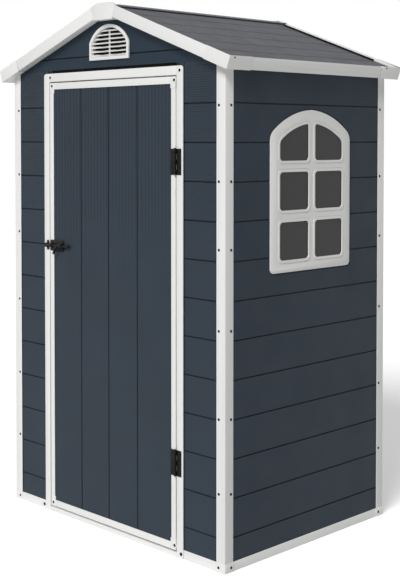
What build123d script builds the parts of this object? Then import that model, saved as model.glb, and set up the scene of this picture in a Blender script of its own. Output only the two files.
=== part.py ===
from build123d import *

import math
import os

# Overall form, in millimetres.
# X runs to the right as seen from the front, the door faces -Y, and Z is up.
# The origin is at ground level, in the middle of the plan.
WIDTH = 1220.0  # across the front, over the corner posts
DEPTH = 915.0  # front to back, over the corner posts
EAVE_HEIGHT = 1792.6  # top edge of the trim along an eave
ROOF_PITCH = 20.13  # degrees
EAVE_OVERHANG = 54.0  # side posts to the top edge of an eave
ROOF_OVERHANG = 33.0  # front posts to the front of the roof trim, and the same behind
GABLE_SEAM = 1782.0  # height of the joint between the lower panels and the gable panel
FIT = 0.2  # clearance between fixed pieces that seat in each other
MOVING_GAP = 5.0  # clearance round the door
OVERCUT = 1.0  # how far a cut runs past the face that it opens
JOIN_LAP = 1.0  # how far the parts of one solid run into each other
CLEAR_OF_ROOF = 100.0  # how far the cut above the walls reaches past the roof

# Wall panels and the posts that hold their edges.
PANEL_THICKNESS = 15.0
POST_FACE = 42.0  # width of a post on each outer face
POST_WALL = 2.0  # outer wall of a post, so the panels lie this far back
POST_WEB = 3.0  # inner walls of a post
POST_CORNER_RADIUS = 3.0

# Base.
BASE_HEIGHT = 34.0
BASE_CHANNEL_FLOOR = 12.0  # the height where the wall panels stand in the base rails
BASE_INNER_WALL = 4.0
BLOCK_PROUD = 1.5  # how far a corner block stands out past the post faces
BLOCK_MARGIN = 2.0  # how far a corner block reaches past its post along each wall
BLOCK_RISE = 1.0  # corner block above the rails
BLOCK_CORNER_RADIUS = 4.0
SPIGOT_HEIGHT = 30.0
FLOOR_TOP = 16.0
FLOOR_SKIN = 6.0
FLOOR_RIB = 5.0
FLOOR_RIBS_ACROSS = 5
FLOOR_RIBS_ALONG = 4

# Doorway frame. Its profiles stand a little proud of the posts.
OPENING_WIDTH = 742.0
JAMB_FACE = 32.5
FRAME_PROUD = 3.0
JAMB_CORE = 12.0  # width of the hollow part of a jamb, beside the opening
JAMB_WALL = 4.0
STOP_REACH = 12.0  # how far the stops reach in behind the door
STOP_THICKNESS = 5.0
HEAD_FACE = 33.0
HEAD_SHADOW_GAP = 9.0  # top of the door head to the gable seam
HEAD_CORNER_RADIUS = 12.0
SILL_TOP = 17.0
TONGUE_RISE = 15.0  # underside of the door head to the foot of the gable panel's tongue
TONGUE_SETBACK = 4.0  # tongue faces lie this far inside the gable panel's faces

# Door.
DOOR_THICKNESS = 16.0
DOOR_BOTTOM_GAP = 7.0
STILE_FACE = 23.0
RAIL_FACE = 26.0
DOOR_PANEL_THICKNESS = 10.0
DOOR_PANEL_SETBACK = 3.0
DOOR_GROOVE_DEPTH = 10.0  # how far the door panel enters the stiles and rails
DOOR_CORNER_LENGTH = 42.0
DOOR_CORNER_FLARE = 4.0  # corner pieces are this much wider than the stiles

# Hinges: five knuckles each, three on the frame and two on the door.
LOWER_HINGE_RISE = 319.5  # foot of the door to the middle of the lower hinge
UPPER_HINGE_DROP = 305.5  # top of the door to the middle of the upper hinge
HINGE_LENGTH = 94.0
HINGE_PLATE_WIDTH = 28.0
HINGE_PLATE_THICKNESS = 2.0
KNUCKLE_RADIUS = 5.0
KNUCKLE_COUNT = 5
KNUCKLE_GAP = 0.5
HINGE_PLATE_MARGIN = 1.0  # knuckle to the edge of its plate
HINGE_PIN_RADIUS = 2.5
HINGE_PIN_CLEARANCE = 0.05
HINGE_PIN_HEAD = 3.0
HINGE_PIN_HEAD_RADIUS = 4.0
HINGE_STANDOFF = 0.2  # knuckle surface to the frame's face

# Slide bolt.
BOLT_HEIGHT = 1084.0
BOLT_PLATE_LENGTH = 84.0
BOLT_PLATE_HEIGHT = 44.0
BOLT_PLATE_THICKNESS = 2.0
BOLT_PLATE_CORNER = 7.0
BOLT_EDGE = 2.0  # plate to the closing edge of the door
BOLT_RADIUS = 5.0
BOLT_END_RADIUS = 2.0  # rounding of both ends
BOLT_BORE_CLEARANCE = 0.4
BOLT_TUNNEL_WALL = 2.4
BOLT_STANDOFF = 1.0  # bolt above its plate
BOLT_LENGTH = 130.0
BOLT_TRAVEL = 24.0
BOLT_HANDLE_RADIUS = 4.5
BOLT_HANDLE_DROP = 30.0  # from the bolt's centre line to the handle's rounded end
BOLT_HANDLE_SLANT = 14.0  # how far the handle's end leans towards the bolt's tip
BOLT_END_ROOM = 1.5  # handle to the guides at both ends of the travel
KEEPER_LENGTH = 15.0
KEEPER_HEIGHT = 40.0
KEEPER_GAP = 5.5  # keeper to the end of the withdrawn bolt
KEEPER_BORE_CLEARANCE = 1.4  # a keeper is looser than the guides, so that the bolt finds it
KEEPER_SETBACK = 1.0  # keeper to the edge of its jamb

# Window in the right wall: a rectangle with a low arch on top.
WINDOW_WIDTH = 460.0
WINDOW_BOTTOM = 1025.5
WINDOW_SPRING = 1530.0
WINDOW_TOP = 1619.0
WINDOW_PROUD = 2.5  # frame's face in front of the post face
WINDOW_SHIFT = 6.0  # middle of the window behind the middle of the wall
WINDOW_BORDER = 53.0
WINDOW_LAP = 30.0  # how far the frame laps onto the wall round its hole
WINDOW_CORNER_RADIUS = 20.0  # lower outer corners of the frame
WINDOW_INNER_RADIUS = 12.0  # lower corners of the opening
PANE_LAP = 10.0
PANE_THICKNESS = 3.0

# Louvred vent in the front gable: low straight sides and an arched top.
VENT_WIDTH = 228.0
VENT_RISE = 31.0  # gable seam to the underside of the vent
VENT_DROP = 14.0  # foot of the peak cap to the top of the vent
VENT_ARCH_RISE = 69.0
VENT_PROUD = 7.0
VENT_BORDER = 12.0
VENT_LAP = 8.0
LOUVRE_PITCH = 15.6
LOUVRE_TILT = 38.0  # degrees from level, each blade falling to the outside
LOUVRE_CHORD = 18.0
LOUVRE_THICKNESS = 2.4
LOUVRE_SETBACK = 1.5  # blades behind the vent's face
VENT_MULLION = 3.0

# Roof.
TRIM_HEIGHT = 46.4  # square to the slope
TRIM_WALL = 4.0
TRIM_LIP = 16.0
TRIM_LIP_THICKNESS = 3.0
ROOF_PANEL_DROP = 10.0  # roof panel's top face below the top of the trims
ROOF_PANEL_THICKNESS = 16.0
CAP_PROUD = 1.5  # corner and peak caps stand out past the trims
CORNER_CAP_ALONG_EAVE = 117.0
CORNER_CAP_ALONG_RAKE = 119.0
PEAK_CAP_HALF = 56.0  # at its flat lower edge
PEAK_CAP_DROP = 75.0  # where the trim planes would meet to the flat foot of a peak cap
CREST_RISE = 2.5  # top of a peak cap above the ridge
RIDGE_CLEARANCE = 0.5  # ridge crown over the top ends of the roof panels
RIDGE_CROWN_RISE = 2.5
RIDGE_CROWN_THICKNESS = 8.0
RIDGE_HALF_WIDTH = 55.0
RIDGE_WEB_OUTER = 31.0
RIDGE_WEB = 4.0
RIDGE_GAP = 44.0  # along the slope from the apex line to the top end of a roof panel
RIDGE_FLANGE_END = 75.0  # along the slope
RIDGE_FLANGE_THICKNESS = 3.0
RIDGE_WEB_SEAT = 0.5  # how far a web stands in the flange

# Derived places.
HALF_W = WIDTH / 2
HALF_D = DEPTH / 2
PANEL_BACK = POST_WALL + PANEL_THICKNESS
WALL_BACK = PANEL_BACK + POST_WEB
POST_CORE = PANEL_BACK  # outer size of a post's hollow core, where a panel's edge stops
BLOCK_SIZE = POST_FACE + BLOCK_MARGIN
BLOCK_HEIGHT = BASE_HEIGHT + BLOCK_RISE
COS_P = math.cos(math.radians(ROOF_PITCH))
SIN_P = math.sin(math.radians(ROOF_PITCH))
TAN_P = math.tan(math.radians(ROOF_PITCH))
ROOF_HALF_WIDTH = HALF_W + EAVE_OVERHANG
APEX_HEIGHT = EAVE_HEIGHT + ROOF_HALF_WIDTH * TAN_P  # where the two roof trim planes would meet
ROOF_FRONT = HALF_D + ROOF_OVERHANG
EAVE_S = ROOF_HALF_WIDTH / COS_P
PANEL_TOP_N = -ROOF_PANEL_DROP
PANEL_UNDER_N = -ROOF_PANEL_DROP - ROOF_PANEL_THICKNESS
WALL_TOP_N = PANEL_UNDER_N - FIT
HEAD_TOP = GABLE_SEAM - HEAD_SHADOW_GAP
HEAD_BOTTOM = HEAD_TOP - HEAD_FACE
TONGUE_BOTTOM = HEAD_BOTTOM + TONGUE_RISE
HALF_OPENING = OPENING_WIDTH / 2
JAMB_OUTER = HALF_OPENING + JAMB_FACE
HALF_DOOR = HALF_OPENING - MOVING_GAP
DOOR_BOTTOM = SILL_TOP + DOOR_BOTTOM_GAP
DOOR_TOP = HEAD_BOTTOM - MOVING_GAP
DOOR_FRONT = -FRAME_PROUD
DOOR_BACK = DOOR_FRONT + DOOR_THICKNESS
STOP_FRONT = DOOR_BACK + MOVING_GAP
HALF_DOOR_PANEL = HALF_DOOR - STILE_FACE
HINGE_HEIGHTS = (DOOR_BOTTOM + LOWER_HINGE_RISE, DOOR_TOP - UPPER_HINGE_DROP)
PEAK_CAP_BOTTOM = APEX_HEIGHT - PEAK_CAP_DROP
VENT_BOTTOM = GABLE_SEAM + VENT_RISE
VENT_TOP = PEAK_CAP_BOTTOM - VENT_DROP
VENT_SPRING = VENT_TOP - VENT_ARCH_RISE
LOUVRE_COUNT = int((VENT_TOP - VENT_BOTTOM - 2 * VENT_BORDER) / LOUVRE_PITCH)
RIDGE_UNDERSIDE = APEX_HEIGHT - RIDGE_GAP * SIN_P + PANEL_TOP_N * COS_P + RIDGE_CLEARANCE
RIDGE_TOP = RIDGE_UNDERSIDE + RIDGE_CROWN_THICKNESS + RIDGE_CROWN_RISE
CREST_HEIGHT = RIDGE_TOP + CREST_RISE


def block(x0, x1, y0, y1, z0, z1):
    """A plain block between two opposite corners."""
    return Pos((x0 + x1) / 2, (y0 + y1) / 2, (z0 + z1) / 2) * Box(x1 - x0, y1 - y0, z1 - z0)


def prism(plane, points, start, end):
    """A closed outline on a plane, drawn out from start to end along the plane's normal."""
    face = make_face(Polyline(*points, close=True))
    return extrude(plane.offset(start) * face, end - start)


def front_block(x0, x1, b0, b1, z0, z1):
    """A block in the front wall, with b measured inward from the face of the posts."""
    return block(x0, x1, b0 - HALF_D, b1 - HALF_D, z0, z1)


def mirror_x(shape):
    """The same shape on the other side of the shed."""
    return mirror(shape, about=Plane.YZ)


def mirror_y(shape):
    """The same shape at the other end of the shed."""
    return mirror(shape, about=Plane.XZ)


def slope_point(s, n):
    """X and Z of a point s down the right slope and n above the plane of the trim tops."""
    return (s * COS_P + n * SIN_P, APEX_HEIGHT - s * SIN_P + n * COS_P)


def slope_z(x, n):
    """Height at x of the plane that lies n above the plane of the trim tops."""
    return APEX_HEIGHT + n / COS_P - abs(x) * TAN_P


def rake_plane():
    """Sections of pieces that run down the right slope: local X is Y, local Y is square to the slope."""
    return Plane(origin=(0, 0, APEX_HEIGHT), x_dir=(0, 1, 0), z_dir=(COS_P, 0, -SIN_P))


def eave_plane():
    """Sections of pieces that run along the right slope: local X runs down it, local Y is square to it."""
    return Plane(origin=(0, 0, APEX_HEIGHT), x_dir=(COS_P, 0, -SIN_P), z_dir=(0, -1, 0))


def slope_block(s0, s1, y0, y1, n0, n1):
    """A block that lies on the right slope."""
    points = [(s0, n0), (s1, n0), (s1, n1), (s0, n1)]
    return prism(eave_plane(), points, -y1, -y0)


def arched_face(half, bottom, spring, top):
    """An upright outline with straight sides and a segmental arch."""
    lines = Polyline((-half, spring), (-half, bottom), (half, bottom), (half, spring))
    arch = ThreePointArc((half, spring), (0, top), (-half, spring))
    return make_face(lines + arch)


def upright_edge(shape, x, y):
    """The upright edges of a shape that stand over a point of the plan."""
    edges = shape.edges().filter_by(Axis.Z)
    return edges.filter_by(lambda e: abs(e.center().X - x) < FIT / 2 and abs(e.center().Y - y) < FIT / 2)


# Base

def base_section(b_out):
    """U section of a base rail: outer wall, solid foot and inner wall, measured inward from b_out."""
    return [
        (b_out, 0),
        (WALL_BACK + BASE_INNER_WALL - POST_WEB, 0),
        (WALL_BACK + BASE_INNER_WALL - POST_WEB, BASE_HEIGHT),
        (PANEL_BACK + FIT, BASE_HEIGHT),
        (PANEL_BACK + FIT, BASE_CHANNEL_FLOOR),
        (POST_WALL - FIT, BASE_CHANNEL_FLOOR),
        (POST_WALL - FIT, BASE_HEIGHT),
        (b_out, BASE_HEIGHT),
    ]


def front_rail(x0, x1):
    """A base rail along the front."""
    points = [(b - HALF_D, z) for b, z in base_section(0)]
    return prism(Plane.YZ, points, x0, x1)


def side_rail():
    """The base rail along the right side."""
    reach = HALF_D - BLOCK_SIZE - FIT
    points = [(HALF_W - b, z) for b, z in base_section(0)]
    return prism(Plane.XZ, points, -reach, reach)


def base_rail_front():
    """Two rails, from the corner blocks to the doorway's jambs."""
    rail = front_rail(JAMB_OUTER + FIT, HALF_W - BLOCK_SIZE - FIT)
    return [rail, mirror_x(rail)]


def base_rail_rear():
    """One rail across the back."""
    reach = HALF_W - BLOCK_SIZE - FIT
    return mirror_y(front_rail(-reach, reach))


def corner_block():
    """The foot of the front right post: a block with a slot for each wall panel and a spigot for the post."""
    outer = -BLOCK_PROUD
    foot = front_block(HALF_W - BLOCK_SIZE, HALF_W - outer, outer, BLOCK_SIZE, 0, BLOCK_HEIGHT)
    foot = fillet(upright_edge(foot, HALF_W - outer, outer - HALF_D), BLOCK_CORNER_RADIUS)
    slot_low = POST_WALL - FIT
    slot_high = PANEL_BACK + FIT
    front_slot = front_block(
        HALF_W - BLOCK_SIZE - OVERCUT,
        HALF_W - POST_CORE,
        slot_low,
        slot_high,
        BASE_CHANNEL_FLOOR,
        BLOCK_HEIGHT + OVERCUT,
    )
    side_slot = front_block(
        HALF_W - slot_high,
        HALF_W - slot_low,
        POST_CORE,
        BLOCK_SIZE + OVERCUT,
        BASE_CHANNEL_FLOOR,
        BLOCK_HEIGHT + OVERCUT,
    )
    spigot_low = POST_WALL + FIT
    spigot_high = POST_CORE - POST_WEB - FIT
    spigot = front_block(
        HALF_W - spigot_high,
        HALF_W - spigot_low,
        spigot_low,
        spigot_high,
        BLOCK_HEIGHT,
        BLOCK_HEIGHT + SPIGOT_HEIGHT,
    )
    return foot - front_slot - side_slot + spigot


def base_corner_blocks():
    """The four corner feet."""
    right = corner_block()
    left = mirror_x(right)
    return [right, left, mirror_y(right), mirror_y(left)]


def floor_panel():
    """A moulded floor tray between the rails, with stiffening ribs on its underside."""
    inset = WALL_BACK + BASE_INNER_WALL - POST_WEB + FIT
    half_x = HALF_W - inset
    half_y = HALF_D - inset
    tray = block(-half_x, half_x, -half_y, half_y, 0, FLOOR_TOP)
    corner = BLOCK_SIZE + FIT - inset
    for sx in (-1, 1):
        for sy in (-1, 1):
            x = sorted((sx * (half_x - corner), sx * (half_x + OVERCUT)))
            y = sorted((sy * (half_y - corner), sy * (half_y + OVERCUT)))
            tray -= block(*x, *y, -OVERCUT, FLOOR_TOP + OVERCUT)
    cell_x = (2 * half_x - FLOOR_RIB * (FLOOR_RIBS_ACROSS + 1)) / FLOOR_RIBS_ACROSS
    cell_y = (2 * half_y - FLOOR_RIB * (FLOOR_RIBS_ALONG + 1)) / FLOOR_RIBS_ALONG
    margin = corner + FLOOR_RIB
    for i in range(FLOOR_RIBS_ACROSS):
        for j in range(FLOOR_RIBS_ALONG):
            x0 = -half_x + FLOOR_RIB + i * (cell_x + FLOOR_RIB)
            y0 = -half_y + FLOOR_RIB + j * (cell_y + FLOOR_RIB)
            x1 = x0 + cell_x
            y1 = y0 + cell_y
            x0 = x0 + margin if i == 0 else x0
            x1 = x1 - margin if i == FLOOR_RIBS_ACROSS - 1 else x1
            y0 = y0 + margin if j == 0 else y0
            y1 = y1 - margin if j == FLOOR_RIBS_ALONG - 1 else y1
            tray -= block(x0, x1, y0, y1, -OVERCUT, FLOOR_TOP - FLOOR_SKIN)
    return tray


def door_sill():
    """The low threshold between the jambs' feet."""
    reach = HALF_OPENING - FIT
    back = WALL_BACK + BASE_INNER_WALL - POST_WEB
    return front_block(-reach, reach, DOOR_FRONT, back, 0, SILL_TOP)


# Walls

def post_front_right():
    """Corner post: two outer faces, a hollow core and an inner angle that closes the panel channels."""
    far = POST_FACE
    section = [
        (0, 0),
        (far, 0),
        (far, POST_WALL),
        (POST_CORE, POST_WALL),
        (POST_CORE, PANEL_BACK),
        (far, PANEL_BACK),
        (far, WALL_BACK),
        (WALL_BACK, WALL_BACK),
        (WALL_BACK, far),
        (PANEL_BACK, far),
        (PANEL_BACK, POST_CORE),
        (POST_WALL, POST_CORE),
        (POST_WALL, far),
        (0, far),
    ]
    points = [(HALF_W - a, b - HALF_D) for a, b in section]
    top = slope_z(HALF_W - far, WALL_TOP_N) + OVERCUT
    post = prism(Plane.XY, points, BLOCK_HEIGHT, top)
    post = fillet(upright_edge(post, HALF_W, -HALF_D), POST_CORNER_RADIUS)
    core_high = POST_CORE - POST_WEB
    post -= front_block(HALF_W - core_high, HALF_W - POST_WALL, POST_WALL, core_high, 0, top + OVERCUT)
    return post - above_walls()


def above_walls():
    """The space above the undersides of the roof panels."""
    reach = ROOF_HALF_WIDTH + CLEAR_OF_ROOF
    points = [
        (-reach, slope_z(reach, WALL_TOP_N)),
        (0, slope_z(0, WALL_TOP_N)),
        (reach, slope_z(reach, WALL_TOP_N)),
        (reach, APEX_HEIGHT + CLEAR_OF_ROOF),
        (-reach, APEX_HEIGHT + CLEAR_OF_ROOF),
    ]
    return prism(Plane.XZ, points, -ROOF_FRONT - CLEAR_OF_ROOF, ROOF_FRONT + CLEAR_OF_ROOF)


def front_panel_right():
    """Narrow panel between the right corner post and the right jamb."""
    inner = HALF_OPENING + JAMB_CORE + FIT
    outer = HALF_W - POST_CORE - FIT
    return front_block(
        inner, outer, POST_WALL + FIT / 2, PANEL_BACK - FIT / 2, BASE_CHANNEL_FLOOR + FIT, GABLE_SEAM - FIT
    )


def rear_wall_panel():
    """Full-width panel at the back, up to the gable."""
    reach = HALF_W - POST_CORE - FIT
    return mirror_y(
        front_block(
            -reach,
            reach,
            POST_WALL + FIT / 2,
            PANEL_BACK - FIT / 2,
            BASE_CHANNEL_FLOOR + FIT,
            GABLE_SEAM - FIT,
        )
    )


def gable_outline():
    """Outline of a gable panel: level below, and following the roof and the ridge's flange above."""
    reach = HALF_W - POST_CORE - FIT
    flange_n = PANEL_UNDER_N - FIT - RIDGE_FLANGE_THICKNESS - FIT
    flange_x = slope_point(RIDGE_FLANGE_END + FIT, WALL_TOP_N)[0]
    right = [
        (reach, GABLE_SEAM),
        (reach, slope_z(reach, WALL_TOP_N)),
        (flange_x, slope_z(flange_x, WALL_TOP_N)),
        (flange_x, slope_z(flange_x, flange_n)),
        (0, slope_z(0, flange_n)),
    ]
    return right + [(-x, z) for x, z in reversed(right[:-1])]


def plain_gable():
    """Solid gable panel at the front."""
    return prism(Plane.XZ, gable_outline(), HALF_D - PANEL_BACK + FIT / 2, HALF_D - POST_WALL - FIT / 2)


def front_gable_panel():
    """Gable panel with the vent's hole and the tongue that drops behind the door head."""
    panel = plain_gable()
    panel -= vent_shape(VENT_LAP, POST_WALL - OVERCUT, PANEL_BACK + OVERCUT)
    low = POST_WALL + TONGUE_SETBACK
    high = PANEL_BACK - STOP_THICKNESS
    wide = HALF_OPENING + JAMB_CORE
    narrow = HALF_OPENING - FIT
    panel += front_block(-wide, wide, low, high, HEAD_TOP + FIT, GABLE_SEAM)
    panel += front_block(-narrow, narrow, low, high, TONGUE_BOTTOM, GABLE_SEAM)
    return panel


def side_panel():
    """Right wall panel, one piece from the base to the roof."""
    outer = HALF_W - POST_WALL - FIT / 2
    inner = HALF_W - PANEL_BACK + FIT / 2
    points = [
        (inner, BASE_CHANNEL_FLOOR + FIT),
        (outer, BASE_CHANNEL_FLOOR + FIT),
        (outer, slope_z(outer, WALL_TOP_N)),
        (inner, slope_z(inner, WALL_TOP_N)),
    ]
    reach = HALF_D - POST_CORE - FIT
    return prism(Plane.XZ, points, -reach, reach)


def window_shape(inset, depth_0, depth_1, corner=0):
    """The window's outline drawn in by an inset, between two depths, with its lower corners rounded."""
    half = WINDOW_WIDTH / 2
    radius = (half**2 + (WINDOW_TOP - WINDOW_SPRING) ** 2) / (2 * (WINDOW_TOP - WINDOW_SPRING))
    centre = WINDOW_TOP - radius
    inner_half = half - inset
    spring = centre + math.sqrt((radius - inset) ** 2 - inner_half**2)
    face = arched_face(inner_half, WINDOW_BOTTOM + inset, spring, WINDOW_TOP - inset)
    if corner:
        face = fillet(face.vertices().group_by(Axis.Y)[0], corner)
    solid = extrude(Plane.YZ.offset(HALF_W - depth_1) * face, depth_1 - depth_0)
    return Pos(0, WINDOW_SHIFT, 0) * solid


def right_wall_panel():
    """Side panel with the arched window hole cut through."""
    return side_panel() - window_shape(WINDOW_LAP, POST_WALL - OVERCUT, PANEL_BACK + OVERCUT)


def window_frame():
    """Arched frame: a broad face that laps onto the wall, and a ring through the wall that holds the pane."""
    flange = window_shape(0, -WINDOW_PROUD, POST_WALL, WINDOW_CORNER_RADIUS)
    ring = window_shape(WINDOW_LAP + FIT, POST_WALL, PANEL_BACK)
    opening = window_shape(
        WINDOW_BORDER, -WINDOW_PROUD - OVERCUT, PANEL_BACK + OVERCUT, WINDOW_INNER_RADIUS
    )
    rebate = window_shape(WINDOW_BORDER - PANE_LAP, POST_WALL, PANEL_BACK + OVERCUT)
    return flange + ring - opening - rebate


def window_pane():
    """Tinted pane, held in the frame's rebate."""
    return window_shape(
        WINDOW_BORDER - PANE_LAP + FIT, POST_WALL + FIT, POST_WALL + FIT + PANE_THICKNESS
    )


# Doorway

def jamb_section():
    """Section of a jamb: x outward from the opening, b inward from the post faces."""
    return [
        (0, DOOR_FRONT),
        (JAMB_FACE, DOOR_FRONT),
        (JAMB_FACE, POST_WALL),
        (JAMB_CORE, POST_WALL),
        (JAMB_CORE, PANEL_BACK),
        (JAMB_FACE, PANEL_BACK),
        (JAMB_FACE, WALL_BACK),
        (0, WALL_BACK),
    ]


def door_jamb_right():
    """Hollow jamb with a channel for the wall panel, a stop behind the door and a rounded top corner."""
    points = [(HALF_OPENING + x, b - HALF_D) for x, b in jamb_section()]
    jamb = prism(Plane.XY, points, 0, HEAD_TOP)
    core = front_block(
        HALF_OPENING + JAMB_WALL,
        HALF_OPENING + JAMB_CORE - JAMB_WALL,
        DOOR_FRONT + JAMB_WALL,
        WALL_BACK - JAMB_WALL,
        BASE_HEIGHT,
        HEAD_TOP - JAMB_WALL,
    )
    stop = front_block(
        HALF_OPENING - STOP_REACH,
        HALF_OPENING + JAMB_WALL,
        STOP_FRONT,
        STOP_FRONT + STOP_THICKNESS,
        SILL_TOP + FIT,
        HEAD_BOTTOM - STOP_REACH - FIT,
    )
    panel_foot = front_block(
        HALF_OPENING + JAMB_CORE - OVERCUT,
        JAMB_OUTER + OVERCUT,
        POST_WALL - OVERCUT,
        PANEL_BACK + OVERCUT,
        -OVERCUT,
        BASE_CHANNEL_FLOOR,
    )
    jamb = jamb - core - panel_foot + stop
    r = HEAD_CORNER_RADIUS
    corner = front_block(
        JAMB_OUTER - r,
        JAMB_OUTER + OVERCUT,
        DOOR_FRONT - OVERCUT,
        WALL_BACK + OVERCUT,
        HEAD_TOP - r,
        HEAD_TOP + OVERCUT,
    )
    round_bar = (
        Pos(JAMB_OUTER - r, -HALF_D + WALL_BACK / 2, HEAD_TOP - r)
        * Rot(90, 0, 0)
        * Cylinder(r, 2 * WALL_BACK)
    )
    return jamb - (corner - round_bar)


def door_head():
    """Channel over the doorway: face, underside and a back wall that drops as a stop behind the door."""
    back = STOP_FRONT + STOP_THICKNESS
    section = [
        (DOOR_FRONT, HEAD_BOTTOM),
        (DOOR_FRONT, HEAD_TOP),
        (POST_WALL, HEAD_TOP),
        (POST_WALL, HEAD_BOTTOM + JAMB_WALL),
        (STOP_FRONT, HEAD_BOTTOM + JAMB_WALL),
        (STOP_FRONT, HEAD_TOP),
        (back, HEAD_TOP),
        (back, HEAD_BOTTOM - STOP_REACH),
        (STOP_FRONT, HEAD_BOTTOM - STOP_REACH),
        (STOP_FRONT, HEAD_BOTTOM),
    ]
    points = [(b - HALF_D, z) for b, z in section]
    reach = HALF_OPENING - FIT
    return prism(Plane.YZ, points, -reach, reach)


# Door

def stile_section(face):
    """Section of a door stile or rail: q outward from the panel's visible edge, b inward."""
    groove = DOOR_GROOVE_DEPTH
    front = DOOR_FRONT + DOOR_PANEL_SETBACK
    back = front + DOOR_PANEL_THICKNESS
    return [
        (0, DOOR_FRONT),
        (face, DOOR_FRONT),
        (face, DOOR_BACK),
        (0, DOOR_BACK),
        (0, back + FIT / 2),
        (groove, back + FIT / 2),
        (groove, front - FIT / 2),
        (0, front - FIT / 2),
    ]


def door_panel():
    """The door's board panel, held in the grooves of the stiles and rails."""
    reach = HALF_DOOR_PANEL + DOOR_GROOVE_DEPTH - FIT
    front = DOOR_FRONT + DOOR_PANEL_SETBACK
    return front_block(
        -reach,
        reach,
        front,
        front + DOOR_PANEL_THICKNESS,
        DOOR_BOTTOM + RAIL_FACE - DOOR_GROOVE_DEPTH + FIT,
        DOOR_TOP - RAIL_FACE + DOOR_GROOVE_DEPTH - FIT,
    )


def door_stile_right():
    """Hinge stile, between its two corner pieces."""
    points = [(HALF_DOOR_PANEL + q, b - HALF_D) for q, b in stile_section(STILE_FACE)]
    return prism(
        Plane.XY, points, DOOR_BOTTOM + DOOR_CORNER_LENGTH + FIT, DOOR_TOP - DOOR_CORNER_LENGTH - FIT
    )


def door_rail_top():
    """Top rail, between the corner pieces."""
    z0 = DOOR_TOP - RAIL_FACE
    points = [(b - HALF_D, z0 + q) for q, b in stile_section(RAIL_FACE)]
    reach = HALF_DOOR_PANEL - DOOR_CORNER_FLARE - FIT
    return prism(Plane.YZ, points, -reach, reach)


def door_rail_bottom():
    """Bottom rail, between the corner pieces."""
    z0 = DOOR_BOTTOM + RAIL_FACE
    points = [(b - HALF_D, z0 - q) for q, b in stile_section(RAIL_FACE)]
    reach = HALF_DOOR_PANEL - DOOR_CORNER_FLARE - FIT
    return prism(Plane.YZ, points, -reach, reach)


def door_corner(bottom):
    """A corner piece on the right: a block with a pocket for the panel's corner."""
    inner = HALF_DOOR_PANEL - DOOR_CORNER_FLARE
    length = DOOR_CORNER_LENGTH
    z0 = DOOR_BOTTOM if bottom else DOOR_TOP - length
    piece = front_block(inner, HALF_DOOR, DOOR_FRONT, DOOR_BACK, z0, z0 + length)
    front = DOOR_FRONT + DOOR_PANEL_SETBACK
    groove_z = DOOR_BOTTOM + RAIL_FACE - DOOR_GROOVE_DEPTH if bottom else DOOR_TOP - RAIL_FACE + DOOR_GROOVE_DEPTH
    far_z = z0 + length + OVERCUT if bottom else z0 - OVERCUT
    pocket = front_block(
        inner - OVERCUT,
        HALF_DOOR_PANEL + DOOR_GROOVE_DEPTH,
        front - FIT / 2,
        front + DOOR_PANEL_THICKNESS + FIT / 2,
        min(groove_z, far_z),
        max(groove_z, far_z),
    )
    return piece - pocket


def door_corner_pieces():
    """Four corner pieces that join the stiles and rails."""
    low = door_corner(True)
    high = door_corner(False)
    return [low, high, mirror_x(low), mirror_x(high)]


# Hinges

PIN_X = HALF_DOOR + MOVING_GAP / 2
PIN_B = DOOR_FRONT - HINGE_STANDOFF - KNUCKLE_RADIUS
KNUCKLE_PITCH = HINGE_LENGTH / KNUCKLE_COUNT


def knuckle(height, index):
    """One knuckle of a hinge, as a plain barrel."""
    z0 = height - HINGE_LENGTH / 2 + index * KNUCKLE_PITCH + KNUCKLE_GAP / 2
    length = KNUCKLE_PITCH - KNUCKLE_GAP
    return Pos(PIN_X, PIN_B - HALF_D, z0 + length / 2) * Cylinder(KNUCKLE_RADIUS, length)


def hinge_plate(height, indices, side):
    """A hinge leaf: plate on the face of the frame or the door, joined to its own knuckles."""
    z0 = height - HINGE_LENGTH / 2
    clear = KNUCKLE_RADIUS + HINGE_PLATE_MARGIN
    plate_b0 = DOOR_FRONT - HINGE_PLATE_THICKNESS
    edges = sorted((PIN_X + side * clear, PIN_X + side * HINGE_PLATE_WIDTH))
    leaf = front_block(*edges, plate_b0, DOOR_FRONT, z0, z0 + HINGE_LENGTH)
    for index in indices:
        k0 = z0 + index * KNUCKLE_PITCH + KNUCKLE_GAP / 2
        k1 = k0 + KNUCKLE_PITCH - KNUCKLE_GAP
        tab = sorted((PIN_X, PIN_X + side * (clear + JOIN_LAP)))
        leaf += front_block(*tab, plate_b0, DOOR_FRONT - HINGE_STANDOFF, k0, k1)
        leaf += knuckle(height, index)
    bore = HINGE_PIN_RADIUS + HINGE_PIN_CLEARANCE
    leaf -= Pos(PIN_X, PIN_B - HALF_D, height) * Cylinder(bore, HINGE_LENGTH + 2 * OVERCUT)
    return leaf


def hinge_frame_plates():
    """The two hinge leaves on the right jamb, three knuckles each."""
    return [hinge_plate(height, (0, 2, 4), 1) for height in HINGE_HEIGHTS]


def hinge_door_plates():
    """The two hinge leaves on the door, two knuckles each."""
    return [hinge_plate(height, (1, 3), -1) for height in HINGE_HEIGHTS]


def hinge_pins():
    """Two pins with a rounded head above the top knuckle."""
    pins = []
    for height in HINGE_HEIGHTS:
        pin = Pos(PIN_X, PIN_B - HALF_D, height) * Cylinder(HINGE_PIN_RADIUS, HINGE_LENGTH)
        head_z = height + HINGE_LENGTH / 2 + HINGE_PIN_HEAD / 2
        pin += Pos(PIN_X, PIN_B - HALF_D, head_z) * Cylinder(HINGE_PIN_HEAD_RADIUS, HINGE_PIN_HEAD)
        pins.append(pin)
    return pins


# Slide bolt

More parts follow.
